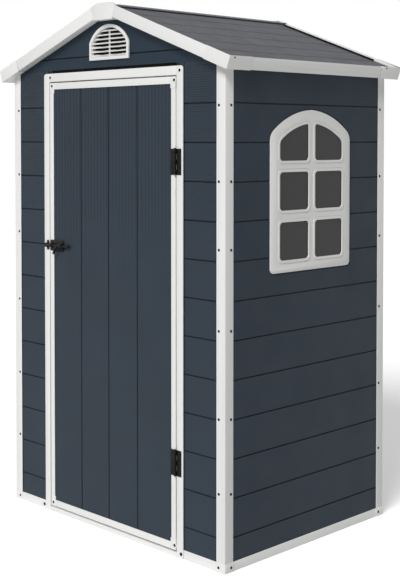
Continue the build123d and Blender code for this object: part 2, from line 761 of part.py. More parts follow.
BOLT_B = DOOR_FRONT - BOLT_PLATE_THICKNESS - BOLT_RADIUS - BOLT_STANDOFF
BOLT_PLATE_X0 = -HALF_DOOR + BOLT_EDGE
BOLT_PLATE_X1 = BOLT_PLATE_X0 + BOLT_PLATE_LENGTH
KEEPER_X1 = -HALF_OPENING - KEEPER_SETBACK
BOLT_TIP_X = KEEPER_X1 + KEEPER_GAP
BOLT_SLOT = BOLT_TRAVEL + 2 * (BOLT_HANDLE_RADIUS + BOLT_END_ROOM)


def x_bar(radius, x0, x1):
    """A round bar along X on the bolt's line."""
    return (
        Pos((x0 + x1) / 2, BOLT_B - HALF_D, BOLT_HEIGHT) * Rot(0, 90, 0) * Cylinder(radius, x1 - x0)
    )


def tunnel(x0, x1, clearance):
    """A hooped guide round the bolt, with straight legs down to its plate."""
    outer = BOLT_RADIUS + clearance + BOLT_TUNNEL_WALL
    hoop = x_bar(outer, x0, x1)
    legs = front_block(
        x0, x1, BOLT_B, DOOR_FRONT - BOLT_PLATE_THICKNESS, BOLT_HEIGHT - outer, BOLT_HEIGHT + outer
    )
    below_plate = front_block(
        x0 - OVERCUT,
        x1 + OVERCUT,
        DOOR_FRONT - BOLT_PLATE_THICKNESS,
        DOOR_FRONT + outer,
        BOLT_HEIGHT - outer,
        BOLT_HEIGHT + outer,
    )
    return hoop + legs - below_plate - x_bar(BOLT_RADIUS + clearance, x0 - OVERCUT, x1 + OVERCUT)


def rounded_plate(x0, x1, height, corner):
    """A thin plate on the face of the door frame, with rounded corners."""
    outline = Pos((x0 + x1) / 2, BOLT_HEIGHT) * RectangleRounded(x1 - x0, height, corner)
    return extrude(Plane.XZ.offset(HALF_D - DOOR_FRONT) * outline, BOLT_PLATE_THICKNESS)


def bolt_housing():
    """Plate on the door with two guides and a slot between them for the handle."""
    plate = rounded_plate(BOLT_PLATE_X0, BOLT_PLATE_X1, BOLT_PLATE_HEIGHT, BOLT_PLATE_CORNER)
    guide = (BOLT_PLATE_LENGTH - BOLT_SLOT) / 2
    left = tunnel(BOLT_PLATE_X0, BOLT_PLATE_X0 + guide, BOLT_BORE_CLEARANCE)
    right = tunnel(BOLT_PLATE_X1 - guide, BOLT_PLATE_X1, BOLT_BORE_CLEARANCE)
    return plate + left + right


def bolt_keeper():
    """Hoop on the left jamb that the bolt enters."""
    x0 = KEEPER_X1 - KEEPER_LENGTH
    plate = rounded_plate(x0, KEEPER_X1, KEEPER_HEIGHT, BOLT_PLATE_CORNER)
    return plate + tunnel(x0, KEEPER_X1, KEEPER_BORE_CLEARANCE)


def bolt_rod():
    """Round bolt with a rounded tip and a round handle turned out and down, shown withdrawn."""
    bar = x_bar(BOLT_RADIUS, BOLT_TIP_X, BOLT_TIP_X + BOLT_LENGTH)
    ends = bar.edges().filter_by(GeomType.CIRCLE)
    bar = fillet(ends, BOLT_END_RADIUS)
    handle_x = (BOLT_PLATE_X0 + BOLT_PLATE_X1 + BOLT_TRAVEL) / 2
    y = BOLT_B - HALF_D
    reach = BOLT_RADIUS + BOLT_HANDLE_RADIUS
    route = FilletPolyline(
        (handle_x, y, BOLT_HEIGHT),
        (handle_x, y - reach, BOLT_HEIGHT - reach),
        (handle_x - BOLT_HANDLE_SLANT, y - reach, BOLT_HEIGHT - BOLT_HANDLE_DROP),
        radius=BOLT_HANDLE_RADIUS,
    )
    section = Plane(origin=route @ 0, z_dir=route % 0) * Circle(BOLT_HANDLE_RADIUS)
    handle = sweep(section, path=route)
    knob = Pos(*(route @ 1)) * Sphere(BOLT_HANDLE_RADIUS)
    return bar + handle + knob


# Louvred vent

def vent_shape(inset, depth_0, depth_1):
    """The vent's outline drawn in by an inset, between two depths from the front post faces."""
    half = VENT_WIDTH / 2
    rise = VENT_TOP - VENT_SPRING
    radius = (half**2 + rise**2) / (2 * rise)
    centre = VENT_TOP - radius
    inner_half = half - inset
    spring = centre + math.sqrt((radius - inset) ** 2 - inner_half**2)
    face = arched_face(inner_half, VENT_BOTTOM + inset, spring, VENT_TOP - inset)
    return extrude(Plane.XZ.offset(HALF_D - depth_1) * face, depth_1 - depth_0)


def gable_vent():
    """Arched frame with tilted blades, cut to the arch, and a slim mullion in the middle."""
    flange = vent_shape(0, -VENT_PROUD + POST_WALL, POST_WALL)
    ring = vent_shape(VENT_LAP + FIT, POST_WALL, PANEL_BACK)
    mouth = vent_shape(VENT_BORDER, -VENT_PROUD + POST_WALL - OVERCUT, PANEL_BACK + OVERCUT)
    frame = flange + ring - mouth
    blades = []
    depth = POST_WALL + (PANEL_THICKNESS - VENT_PROUD) / 2
    for i in range(LOUVRE_COUNT):
        z = VENT_BOTTOM + VENT_BORDER + LOUVRE_PITCH * (i + 0.5)
        blade = (
            Pos(0, depth - HALF_D, z)
            * Rot(LOUVRE_TILT, 0, 0)
            * Box(VENT_WIDTH, LOUVRE_CHORD, LOUVRE_THICKNESS)
        )
        blades.append(blade)
    room = vent_shape(VENT_BORDER - JOIN_LAP, -VENT_PROUD + POST_WALL + LOUVRE_SETBACK, PANEL_BACK)
    inside = [blade & room for blade in blades]
    vent = frame
    for blade in inside:
        vent += blade
    mullion = block(
        -VENT_MULLION / 2,
        VENT_MULLION / 2,
        depth - HALF_D - VENT_PROUD,
        depth - HALF_D + VENT_PROUD,
        VENT_BOTTOM + VENT_BORDER - JOIN_LAP,
        VENT_BOTTOM + VENT_BORDER + LOUVRE_PITCH * (LOUVRE_COUNT - 0.5),
    )
    return vent + mullion


# Roof

def roof_panel_right():
    """Right roof panel, from the ridge to the eave."""
    reach = ROOF_FRONT - TRIM_WALL - FIT
    return slope_block(
        RIDGE_GAP, EAVE_S - TRIM_WALL - FIT, -reach, reach, PANEL_UNDER_N, PANEL_TOP_N
    )


def rake_section(back):
    """Section of a front rake trim: y, and n square to the slope. back is where its foot meets the wall."""
    face = -ROOF_FRONT
    inner = face + TRIM_WALL
    lip = inner + TRIM_LIP
    lip_inner = lip - TRIM_LIP_THICKNESS
    foot = -TRIM_HEIGHT + TRIM_LIP_THICKNESS
    return [
        (face, -TRIM_HEIGHT),
        (face, 0),
        (lip, 0),
        (lip, PANEL_TOP_N + FIT / 2),
        (lip_inner, PANEL_TOP_N + FIT / 2),
        (lip_inner, -TRIM_LIP_THICKNESS),
        (inner, -TRIM_LIP_THICKNESS),
        (inner, foot),
        (back, foot),
        (back, -TRIM_HEIGHT),
    ]


PEAK_CAP_S = (PEAK_CAP_HALF + TRIM_HEIGHT * SIN_P) / COS_P
CORNER_CAP_S = EAVE_S - CORNER_CAP_ALONG_RAKE


def rake_trim_front():
    """The trims down both slopes at the front, from the peak cap to the corner caps."""
    back = -HALF_D + POST_WALL - FIT / 2
    trim = prism(rake_plane(), rake_section(back), PEAK_CAP_S + FIT, CORNER_CAP_S - FIT)
    return [trim, mirror_x(trim)]


def rake_trim_rear():
    """The same trims at the back."""
    return [mirror_y(trim) for trim in rake_trim_front()]


def eave_trim_right():
    """Channel along the eave, with a lip over the roof panel and a foot back to the wall."""
    top = EAVE_S
    inner = top - TRIM_WALL
    lip = inner - TRIM_LIP
    lip_inner = lip + TRIM_LIP_THICKNESS
    foot = -TRIM_HEIGHT + TRIM_LIP_THICKNESS
    wall = HALF_W - POST_WALL + FIT / 2
    foot_end = (wall + TRIM_HEIGHT * SIN_P) / COS_P
    section = [
        (top, -TRIM_HEIGHT),
        (top, 0),
        (lip, 0),
        (lip, PANEL_TOP_N + FIT / 2),
        (lip_inner, PANEL_TOP_N + FIT / 2),
        (lip_inner, -TRIM_LIP_THICKNESS),
        (inner, -TRIM_LIP_THICKNESS),
        (inner, foot),
        (foot_end, foot),
        (foot_end, -TRIM_HEIGHT),
    ]
    reach = ROOF_FRONT - CORNER_CAP_ALONG_EAVE - FIT
    return prism(eave_plane(), section, -reach, reach)


def corner_cap():
    """Cap over the front right corner of the roof, where rake trim and eave trim meet."""
    s0 = CORNER_CAP_S
    s1 = EAVE_S + CAP_PROUD
    y0 = -ROOF_FRONT - CAP_PROUD
    y1 = -ROOF_FRONT + CORNER_CAP_ALONG_EAVE
    n0 = -TRIM_HEIGHT - CAP_PROUD
    inner_s = EAVE_S - TRIM_WALL
    inner_y = -ROOF_FRONT + TRIM_WALL
    foot_top = -TRIM_HEIGHT + TRIM_LIP_THICKNESS
    lip_under = -TRIM_LIP_THICKNESS
    lip_s = inner_s - TRIM_LIP
    lip_y = inner_y + TRIM_LIP
    leg = TRIM_LIP_THICKNESS
    leg_low = PANEL_TOP_N + FIT / 2
    post_s = (HALF_W + FIT + TRIM_HEIGHT * SIN_P + CAP_PROUD) / COS_P
    cap = slope_block(s0, s1, y0, inner_y, n0, CAP_PROUD)
    cap += slope_block(inner_s, s1, y0, y1, n0, CAP_PROUD)
    cap += slope_block(s0, s1, y0, lip_y, lip_under, CAP_PROUD)
    cap += slope_block(lip_s, s1, y0, y1, lip_under, CAP_PROUD)
    cap += slope_block(s0, lip_s + leg, lip_y - leg, lip_y, leg_low, 0)
    cap += slope_block(lip_s, lip_s + leg, lip_y - leg, y1, leg_low, 0)
    cap += slope_block(s0, s1, y0, -HALF_D - FIT, n0, foot_top)
    cap += slope_block(post_s, s1, y0, y1, n0, foot_top)
    return cap


def roof_corner_caps():
    """The four corner caps."""
    right = corner_cap()
    left = mirror_x(right)
    return [right, left, mirror_y(right), mirror_y(left)]


def peak_outline(inset):
    """Front outline of a peak cap: flat bottom, sides square to the slopes and a flattened crest."""
    side_low = slope_point(PEAK_CAP_S, -TRIM_HEIGHT)
    side_high = slope_point(PEAK_CAP_S, CAP_PROUD - inset)
    crest_z = CREST_HEIGHT - inset
    crest_x = (slope_z(0, CAP_PROUD - inset) - crest_z) / TAN_P
    right = [
        (PEAK_CAP_HALF, PEAK_CAP_BOTTOM),
        side_low,
        side_high,
        (crest_x, crest_z),
    ]
    return right + [(-x, z) for x, z in reversed(right)]


def peak_cap():
    """Cap over the front of the ridge: face, top lip and a level foot back to the gable."""
    front = ROOF_FRONT + CAP_PROUD
    face = prism(Plane.XZ, peak_outline(0), ROOF_FRONT - TRIM_WALL, front)
    lip_back = ROOF_FRONT - TRIM_WALL - TRIM_LIP
    lip = prism(Plane.XZ, peak_outline(0), lip_back, front)
    lip -= prism(Plane.XZ, peak_outline(TRIM_LIP_THICKNESS + CAP_PROUD), lip_back - OVERCUT, front + OVERCUT)
    keep = block(-WIDTH, WIDTH, -front, -lip_back, slope_z(PEAK_CAP_HALF, -TRIM_LIP_THICKNESS), CREST_HEIGHT)
    foot = block(
        -PEAK_CAP_HALF,
        PEAK_CAP_HALF,
        -front,
        -HALF_D + POST_WALL - FIT / 2,
        PEAK_CAP_BOTTOM,
        PEAK_CAP_BOTTOM + TRIM_LIP_THICKNESS,
    )
    return face + (lip & keep) + foot


def peak_caps():
    """The caps at both ends of the ridge."""
    cap = peak_cap()
    return [cap, mirror_y(cap)]


def ridge_cap():
    """Ridge section: domed crown over the panels' ends, two webs, and a flange under both panels."""
    half = RIDGE_HALF_WIDTH
    edge_z = RIDGE_TOP - RIDGE_CROWN_RISE
    under_z = RIDGE_UNDERSIDE
    sides = Polyline((half, edge_z), (half, under_z), (-half, under_z), (-half, edge_z))
    dome = ThreePointArc((-half, edge_z), (0, RIDGE_TOP), (half, edge_z))
    crown = make_face(sides + dome)
    flange_top = PANEL_UNDER_N - FIT
    flange_low = flange_top - RIDGE_FLANGE_THICKNESS
    right = [
        slope_point(RIDGE_FLANGE_END, flange_top),
        slope_point(RIDGE_FLANGE_END, flange_low),
        (0, slope_z(0, flange_low)),
    ]
    left = [(-x, z) for x, z in reversed(right[:-1])]
    flange = make_face(Polyline(*right, *left, (0, slope_z(0, flange_top)), close=True))
    web_z0 = slope_z(RIDGE_WEB_OUTER - RIDGE_WEB, flange_low) + RIDGE_WEB_SEAT
    web_top = under_z + JOIN_LAP
    web_place = Pos(RIDGE_WEB_OUTER - RIDGE_WEB / 2, (web_z0 + web_top) / 2)
    web = web_place * Rectangle(RIDGE_WEB, web_top - web_z0)
    section = crown + flange + web + mirror(web, about=Plane.YZ)
    reach = ROOF_FRONT - TRIM_WALL - TRIM_LIP - FIT
    return extrude(Plane.XZ.offset(-reach) * section, 2 * reach)


def write(name, shape):
    """Write a node, made of one solid or a list of solids, to its file."""
    if isinstance(shape, list):
        shape = Compound(children=shape)
    export_step(shape, f"parts/{name}.step")


def main():
    """Build every piece and write it."""
    os.makedirs("parts", exist_ok=True)
    front_right_post = post_front_right()
    front_left_post = mirror_x(front_right_post)
    right_front_panel = front_panel_right()
    right_jamb = door_jamb_right()
    right_stile = door_stile_right()
    right_roof = roof_panel_right()
    right_eave = eave_trim_right()
    right_rail = side_rail()
    pieces = {
        "floor_panel": floor_panel(),
        "base_rail_front": base_rail_front(),
        "base_rail_rear": base_rail_rear(),
        "base_rail_left": mirror_x(right_rail),
        "base_rail_right": right_rail,
        "door_sill": door_sill(),
        "base_corner_blocks": base_corner_blocks(),
        "post_front_right": front_right_post,
        "post_front_left": front_left_post,
        "post_rear_right": mirror_y(front_right_post),
        "post_rear_left": mirror_y(front_left_post),
        "front_panel_right": right_front_panel,
        "front_panel_left": mirror_x(right_front_panel),
        "front_gable_panel": front_gable_panel(),
        "left_wall_panel": mirror_x(side_panel()),
        "right_wall_panel": right_wall_panel(),
        "rear_wall_panel": rear_wall_panel(),
        "rear_gable_panel": mirror_y(plain_gable()),
        "door_jamb_right": right_jamb,
        "door_jamb_left": mirror_x(right_jamb),
        "door_head": door_head(),
        "door_panel": door_panel(),
        "door_stile_right": right_stile,
        "door_stile_left": mirror_x(right_stile),
        "door_rail_top": door_rail_top(),
        "door_rail_bottom": door_rail_bottom(),
        "door_corner_pieces": door_corner_pieces(),
        "hinge_frame_plates": hinge_frame_plates(),
        "hinge_door_plates": hinge_door_plates(),
        "hinge_pins": hinge_pins(),
        "bolt_housing": bolt_housing(),
        "bolt_keeper": bolt_keeper(),
        "bolt_rod": bolt_rod(),
        "window_frame": window_frame(),
        "window_pane": window_pane(),
        "gable_vent": gable_vent(),
        "roof_panel_right": right_roof,
        "roof_panel_left": mirror_x(right_roof),
        "ridge_cap": ridge_cap(),
        "rake_trim_front": rake_trim_front(),
        "rake_trim_rear": rake_trim_rear(),
        "peak_caps": peak_caps(),
        "eave_trim_right": right_eave,
        "eave_trim_left": mirror_x(right_eave),
        "roof_corner_caps": roof_corner_caps(),
    }
    for name, shape in pieces.items():
        write(name, shape)


if __name__ == "__main__":
    main()
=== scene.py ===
"""Looks of a small garden shed in moulded plastic boards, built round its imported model.

Sizes and places are in metres, in the shed's own frame: X to the right, the door at -Y, Z up.
"""

import logging
import math
from dataclasses import dataclass
from enum import Enum

import bmesh
import bpy
from mathutils import Matrix, Vector


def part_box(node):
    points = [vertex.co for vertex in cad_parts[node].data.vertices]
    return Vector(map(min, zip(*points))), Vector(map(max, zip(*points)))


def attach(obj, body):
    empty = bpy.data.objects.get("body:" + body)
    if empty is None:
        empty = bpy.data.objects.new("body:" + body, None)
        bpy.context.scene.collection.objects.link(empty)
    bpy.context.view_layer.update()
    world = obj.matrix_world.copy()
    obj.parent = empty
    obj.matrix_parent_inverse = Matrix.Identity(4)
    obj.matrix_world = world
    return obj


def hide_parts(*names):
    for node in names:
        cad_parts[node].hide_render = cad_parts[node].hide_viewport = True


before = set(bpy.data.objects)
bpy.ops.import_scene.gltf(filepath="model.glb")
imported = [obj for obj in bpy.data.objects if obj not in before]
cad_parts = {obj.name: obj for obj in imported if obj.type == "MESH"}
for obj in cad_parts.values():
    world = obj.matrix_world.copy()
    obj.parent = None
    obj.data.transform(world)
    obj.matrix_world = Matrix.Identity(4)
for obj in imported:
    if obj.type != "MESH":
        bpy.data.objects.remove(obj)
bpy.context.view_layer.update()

LOG = logging.getLogger("shed")
MERGE_DISTANCE = 0.000002
FLAT_ANGLE = math.radians(0.05)
OVERCUT = 0.01
CUTTER_LIP = 0.002
BOARD_PITCH = 0.1381
BOARD_FIRST_GROOVE = 1.6370
FRONT = Vector((0, -1, 0))

Colour = tuple[float, float, float]
Outline = list[tuple[float, float]]
Spots = list[tuple[Vector, Vector]]


class Body(str, Enum):
    """The moving bodies of the shed."""

    SHED = "shed"
    DOOR = "door"
    BOLT = "bolt"


class Facing(Enum):
    """Which way a wall faces, as a turn in degrees from the front."""

    FRONT = 0
    RIGHT = 90
    BACK = 180
    LEFT = 270

    def turn(self) -> Matrix:
        """The turn from a wall seen from the front to this one."""
        return Matrix.Rotation(math.radians(self.value), 4, "Z")


class Run(Enum):
    """The direction of a long cut in a wall."""

    LEVEL = "level"
    UPRIGHT = "upright"


# Finishes


class NodeSheet:
    """A new material and short calls that add and join its nodes."""

    def __init__(self, name: str) -> None:
        """Make an empty material.

        Args:
            name: the material's name.
        """
        self.material = bpy.data.materials.new(name)
        self.material.use_nodes = True
        self.nodes = self.material.node_tree.nodes
        self.links = self.material.node_tree.links
        self.nodes.clear()
        self.output = self.nodes.new("ShaderNodeOutputMaterial")

    def add(self, kind: str, **values: object) -> bpy.types.Node:
        """Add a node.

        Args:
            kind: the node's type.
            values: the node's own settings, by attribute name.

        Returns:
            The new node.
        """
        node = self.nodes.new(kind)
        for key, value in values.items():
            setattr(node, key, value)
        return node

    def noise(self, scale: float, detail: float = 2.0, stretch: Colour = (1, 1, 1)) -> bpy.types.NodeSocket:
        """A noise on the object's own coordinates.

        Args:
            scale: features per metre.
            detail: how many finer layers it has.
            stretch: how the coordinates are scaled before the noise.

        Returns:
            The socket of the noise, from 0 to 1.
        """
        place = self.add("ShaderNodeTexCoord")
        mapping = self.add("ShaderNodeMapping")
        mapping.inputs["Scale"].default_value = stretch
        self.links.new(place.outputs["Object"], mapping.inputs["Vector"])
        texture = self.add("ShaderNodeTexNoise")
        texture.inputs["Scale"].default_value = scale
        texture.inputs["Detail"].default_value = detail
        self.links.new(mapping.outputs["Vector"], texture.inputs["Vector"])
        return texture.outputs["Fac"]

    def ramp(self, source: bpy.types.NodeSocket, low: float, high: float) -> bpy.types.NodeSocket:
        """Spread a noise's middle range between two numbers.

        Args:
            source: the noise.
            low: result for the darker part.
            high: result for the lighter part.

        Returns:
            The socket of the result.
        """
        spread = self.add("ShaderNodeMapRange")
        spread.inputs["From Min"].default_value = 0.3
        spread.inputs["From Max"].default_value = 0.7
        spread.inputs["To Min"].default_value = low
        spread.inputs["To Max"].default_value = high
        self.links.new(source, spread.inputs["Value"])
        return spread.outputs["Result"]

    def blend(self, share: bpy.types.NodeSocket, first: Colour, second: Colour) -> bpy.types.NodeSocket:
        """Mix two colours by a share.

        Args:
            share: 0 gives the first colour and 1 the second.
            first: linear colour.
            second: linear colour.

        Returns:
            The socket of the mixed colour.
        """
        mix = self.add("ShaderNodeMix", data_type="RGBA")
        colour_a = [s for s in mix.inputs if s.name == "A" and s.type == "RGBA"][0]
        colour_b = [s for s in mix.inputs if s.name == "B" and s.type == "RGBA"][0]
        colour_a.default_value = (*first, 1)
        colour_b.default_value = (*second, 1)
        self.links.new(share, mix.inputs[0])
        return [s for s in mix.outputs if s.type == "RGBA"][0]

    def bump(self, height: bpy.types.NodeSocket, depth: float) -> bpy.types.NodeSocket:
        """Turn a height into a surface direction.

        Args:
            height: the height, from 0 to 1.
            depth: metres between 0 and 1.

        Returns:
            The socket of the direction.
        """
        node = self.add("ShaderNodeBump")
        node.inputs["Strength"].default_value = 1.0
        node.inputs["Distance"].default_value = depth
        self.links.new(height, node.inputs["Height"])
        return node.outputs["Normal"]


def scaled(colour: Colour, share: float) -> Colour:
    """A colour made lighter or darker by a share."""
    return tuple(min(1.0, c * share) for c in colour)


def seen_share(tree: bpy.types.NodeTree) -> bpy.types.NodeSocket:
    """A number that is 1 for what the camera sees, also in a reflection or through glass.

    Args:
        tree: the node tree of a material or of the world.

    Returns:
        The socket of the number, 0 for the light that falls on things.
    """
    path = tree.nodes.new("ShaderNodeLightPath")
    seen = path.outputs["Is Camera Ray"]
    for ray in ("Is Glossy Ray", "Is Transmission Ray"):
        either = tree.nodes.new("ShaderNodeMath")
        either.operation = "MAXIMUM"
        tree.links.new(seen, either.inputs[0])
        tree.links.new(path.outputs[ray], either.inputs[1])
        seen = either.outputs["Value"]
    return seen


@dataclass(frozen=True)
class Finish:
    """One colour with faint clouds, an uneven sheen and a fine grain in relief."""

    name: str
    colour: Colour
    roughness: float = 0.5
    specular: float = 0.35
    shades: tuple[float, float] = (0.95, 1.05)
    cloud_scale: float = 3.0
    cloud_detail: float = 3.0
    flow: Colour = (1, 1, 1)
    sheen_scale: float = 12.0
    sheen_spread: float = 0.05
    grain_scale: float = 900.0
    grain_detail: float = 2.0
    grain_depth: float = 0.00003

    def material(self) -> bpy.types.Material:
        """Build the material.

        Returns:
            The new material.
        """
        sheet = NodeSheet(self.name)
        shader = sheet.add("ShaderNodeBsdfPrincipled")
        shader.inputs["Specular IOR Level"].default_value = self.specular
        share = sheet.ramp(sheet.noise(self.cloud_scale, self.cloud_detail, self.flow), 0.0, 1.0)
        darker, lighter = (scaled(self.colour, shade) for shade in self.shades)
        sheet.links.new(sheet.blend(share, darker, lighter), shader.inputs["Base Color"])
        sheen = sheet.noise(self.sheen_scale)
        gloss = sheet.ramp(sheen, self.roughness - self.sheen_spread, self.roughness + self.sheen_spread)
        sheet.links.new(gloss, shader.inputs["Roughness"])
        grain = sheet.noise(self.grain_scale, self.grain_detail)
        sheet.links.new(sheet.bump(grain, self.grain_depth), shader.inputs["Normal"])
        sheet.links.new(shader.outputs["BSDF"], sheet.output.inputs["Surface"])
        return sheet.material


@dataclass(frozen=True)
class MouldedPlastic(Finish):
    """Moulded plastic: a fine leather-like grain and a satin sheen."""


@dataclass(frozen=True)
class DrawnPlastic(Finish):
    """White profile plastic with faint streaks along the way it was drawn."""

    roughness: float = 0.45
    shades: tuple[float, float] = (0.978, 1.022)
    cloud_scale: float = 75.0
    sheen_scale: float = 300.0


@dataclass(frozen=True)
class CoatedSteel(Finish):
    """Steel with a thin dark coating that has a faint orange-peel surface."""

    roughness: float = 0.42
    specular: float = 0.14
    shades: tuple[float, float] = (0.8, 1.25)
    cloud_scale: float = 60.0
    sheen_scale: float = 90.0
    sheen_spread: float = 0.07
    grain_scale: float = 700.0
    grain_depth: float = 0.00002


@dataclass(frozen=True)
class TintedAcrylic(Finish):
    """Dark tinted sheet with long, very shallow waves."""

    roughness: float = 0.3
    specular: float = 0.3
    shades: tuple[float, float] = (0.96, 1.04)
    cloud_scale: float = 6.0
    cloud_detail: float = 1.0
    sheen_scale: float = 14.0
    sheen_spread: float = 0.03
    grain_scale: float = 8.0
    grain_detail: float = 1.0
    grain_depth: float = 0.0004


@dataclass(frozen=True)
class StudioFloor:
    """White floor that shows the shed's shadow and meets a white background."""

    name: str
    colour: Colour = (0.93, 0.93, 0.93)
    lift: float = 0.40

    def material(self) -> bpy.types.Material:
        """Build the material.

        Returns:
            The new material.
        """
        sheet = NodeSheet(self.name)
        shader = sheet.add("ShaderNodeBsdfDiffuse")
        share = sheet.ramp(sheet.noise(2.0, 2.0), 0.0, 1.0)
        sheet.links.new(sheet.blend(share, scaled(self.colour, 0.995), self.colour), shader.inputs["Color"])
        glow = sheet.add("ShaderNodeEmission")
        strength = sheet.add("ShaderNodeMath", operation="MULTIPLY")
        strength.inputs[1].default_value = self.lift
        sheet.links.new(seen_share(sheet.material.node_tree), strength.inputs[0])
        sheet.links.new(strength.outputs["Value"], glow.inputs["Strength"])
        both = sheet.add("ShaderNodeAddShader")
        sheet.links.new(shader.outputs["BSDF"], both.inputs[0])
        sheet.links.new(glow.outputs["Emission"], both.inputs[1])
        sheet.links.new(both.outputs["Shader"], sheet.output.inputs["Surface"])
        return sheet.material


@dataclass(frozen=True)
class Finishes:
    """Every finish of the shed, made once."""

    boards: bpy.types.Material
    # gable: the boards' finish made darker, painted shade under the roof's overhang
    gable: bpy.types.Material
    white: bpy.types.Material
    white_across: bpy.types.Material
    white_upright: bpy.types.Material
    white_deep: bpy.types.Material
    roof: bpy.types.Material
    ridge: bpy.types.Material
    # near-black finish for sheets that paint shade: over the door's head, behind the vent's blades and
    # along the rear roof trims
    painted_shade_black: bpy.types.Material
    floor: bpy.types.Material
    steel: bpy.types.Material
    screw: bpy.types.Material
    pane: bpy.types.Material

    @classmethod
    def make(cls) -> "Finishes":
        """Make all the materials.

        Returns:
            The set of finishes.
        """
        white = (0.785, 0.785, 0.77)
        along = 0.04
        boards, gable, painted_shade_black = (0.0240, 0.0348, 0.0488), (0.0140, 0.0262, 0.0410), (0.006, 0.006, 0.006)
        roof, ridge, floor = (0.0740, 0.0765, 0.0865), (0.140, 0.145, 0.158), (0.11, 0.113, 0.12)
        made = {
            "boards": MouldedPlastic("slate_board_plastic", boards, 0.58, 0.2),
            # painted shade: the gables take the board plastic in a darker colour for the shade under the
            # overhang
            "gable": MouldedPlastic("slate_gable_plastic", gable, 0.58, 0.2),
            "white": MouldedPlastic("white_profile_plastic", white, 0.45, 0.35, (0.988, 1.012)),
            "white_across": DrawnPlastic("white_plastic_drawn_across", white, flow=(along, 1, 1)),
            "white_upright": DrawnPlastic("white_plastic_drawn_upright", white, flow=(1, 1, along)),
            "white_deep": DrawnPlastic("white_plastic_drawn_front_to_back", white, flow=(1, along, 1)),
            "roof": MouldedPlastic("grey_roof_plastic", roof, 0.62, 0.2),
            "ridge": MouldedPlastic("grey_ridge_plastic", ridge, 0.62, 0.2),
            # painted shade: near-black sheets stand in for shade in the head recess, the vent and by the
            # rear trims
            "painted_shade_black": MouldedPlastic("black_sealing_rubber", painted_shade_black, 0.7, 0.1),
            "floor": MouldedPlastic("grey_floor_plastic", floor, 0.6, 0.3),
            "steel": CoatedSteel("black_coated_steel", (0.005, 0.005, 0.005)),
            "screw": CoatedSteel("dark_screw_steel", (0.004, 0.004, 0.004), 0.5, 0.1),
            "pane": TintedAcrylic("tinted_acrylic", (0.0265, 0.0265, 0.0255)),
        }
        return cls(**{part: finish.material() for part, finish in made.items()})


# Mesh work


def new_piece(name: str, mesh: bpy.types.Mesh) -> bpy.types.Object:
    """An object at the origin that holds a mesh."""
    piece = bpy.data.objects.new(name, mesh)
    bpy.context.scene.collection.objects.link(piece)
    return piece


def discard(piece: bpy.types.Object) -> None:
    """Remove a helper object."""
    bpy.data.objects.remove(piece)


def merged_copy(node: str, name: str, flatten: bool = True) -> bpy.types.Object:
    """A copy of a CAD node with its loose triangles joined.

    Args:
        node: the CAD node.
        name: the copy's name.
        flatten: also join triangles that lie in one plane.

    Returns:
        The new object.
    """
    mesh = bpy.data.meshes.new(name)
    work = bmesh.new()
    work.from_mesh(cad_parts[node].data)
    bmesh.ops.remove_doubles(work, verts=work.verts, dist=MERGE_DISTANCE)
    if flatten:
        bmesh.ops.dissolve_limit(work, angle_limit=FLAT_ANGLE, verts=work.verts, edges=work.edges)
    work.to_mesh(mesh)
    work.free()
    mesh.materials.clear()
    return new_piece(name, mesh)


def settle(piece: bpy.types.Object) -> None:
    """Turn a piece's modifiers into its own mesh."""
    bpy.context.view_layer.update()
    seen = piece.evaluated_get(bpy.context.evaluated_depsgraph_get())
    mesh = bpy.data.meshes.new_from_object(seen)
    piece.modifiers.clear()
    old = piece.data
    piece.data = mesh
    mesh.name = piece.name
    bpy.data.meshes.remove(old)


def carve(piece: bpy.types.Object, cutter: bpy.types.Object, operation: str = "DIFFERENCE") -> None:
    """Cut one closed shape out of another, and discard the cutter.

    Args:
        piece: what is cut.
        cutter: what is taken away, or kept or added by the operation.
        operation: DIFFERENCE, INTERSECT or UNION.
    """
    step = piece.modifiers.new("carve", "BOOLEAN")
    step.operation = operation
    step.solver = "MANIFOLD"
    step.object = cutter
    settle(piece)
    discard(cutter)


def loft(name: str, solids: list[list[list[Vector]]]) -> bpy.types.Object:
    """Closed solids as one object, each from rings of points joined one to the next.

    Args:
        name: the object's name.
        solids: for each solid its rings, with the same number of points.

    Returns:
        The new object.
    """
    work = bmesh.new()
    for places in solids:
        rings = [[work.verts.new(place) for place in ring] for ring in places]
        work.faces.new(rings[0])
        work.faces.new(rings[-1])
        count = len(rings[0])
        for near, far in zip(rings, rings[1:]):
            for i in range(count):
                j = (i + 1) % count
                work.faces.new((near[i], near[j], far[j], far[i]))
    bmesh.ops.recalc_face_normals(work, faces=work.faces)
    mesh = bpy.data.meshes.new(name)
    work.to_mesh(mesh)
    work.free()
    return new_piece(name, mesh)


def prism(name: str, outline: Outline, length: float, run: Run) -> bpy.types.Object:
    """A long bar with a section across a wall: the first number runs across, the second inward.

    Args:
        name: the object's name.
        outline: the section, in metres.
        length: the bar's length, centred.
        run: whether the bar is level or upright.

    Returns:
        The bar, for a wall that faces the front.
    """
    rings = []
    for end in (-length / 2, length / 2):
        if run is Run.LEVEL:
            rings.append([(end, depth, across) for across, depth in outline])
        else:
            rings.append([(across, depth, end) for across, depth in outline])
    return loft(name, [rings])


def stack(name: str, layers: list[tuple[Outline, float]]) -> bpy.types.Object:
    """Outlines one behind another, joined to a solid, for a wall that faces the front.

    Args:
        name: the object's name.
        layers: outlines with the same number of points, each with its place inward.

    Returns:
        The new object.
    """
    return loft(name, [[[(x, depth, z) for x, z in outline] for outline, depth in layers]])


def plate(name: str, outline: Outline, near: float, far: float) -> bpy.types.Object:
    """A flat outline given a thickness from one depth to another."""
    return stack(name, [(outline, near), (outline, far)])


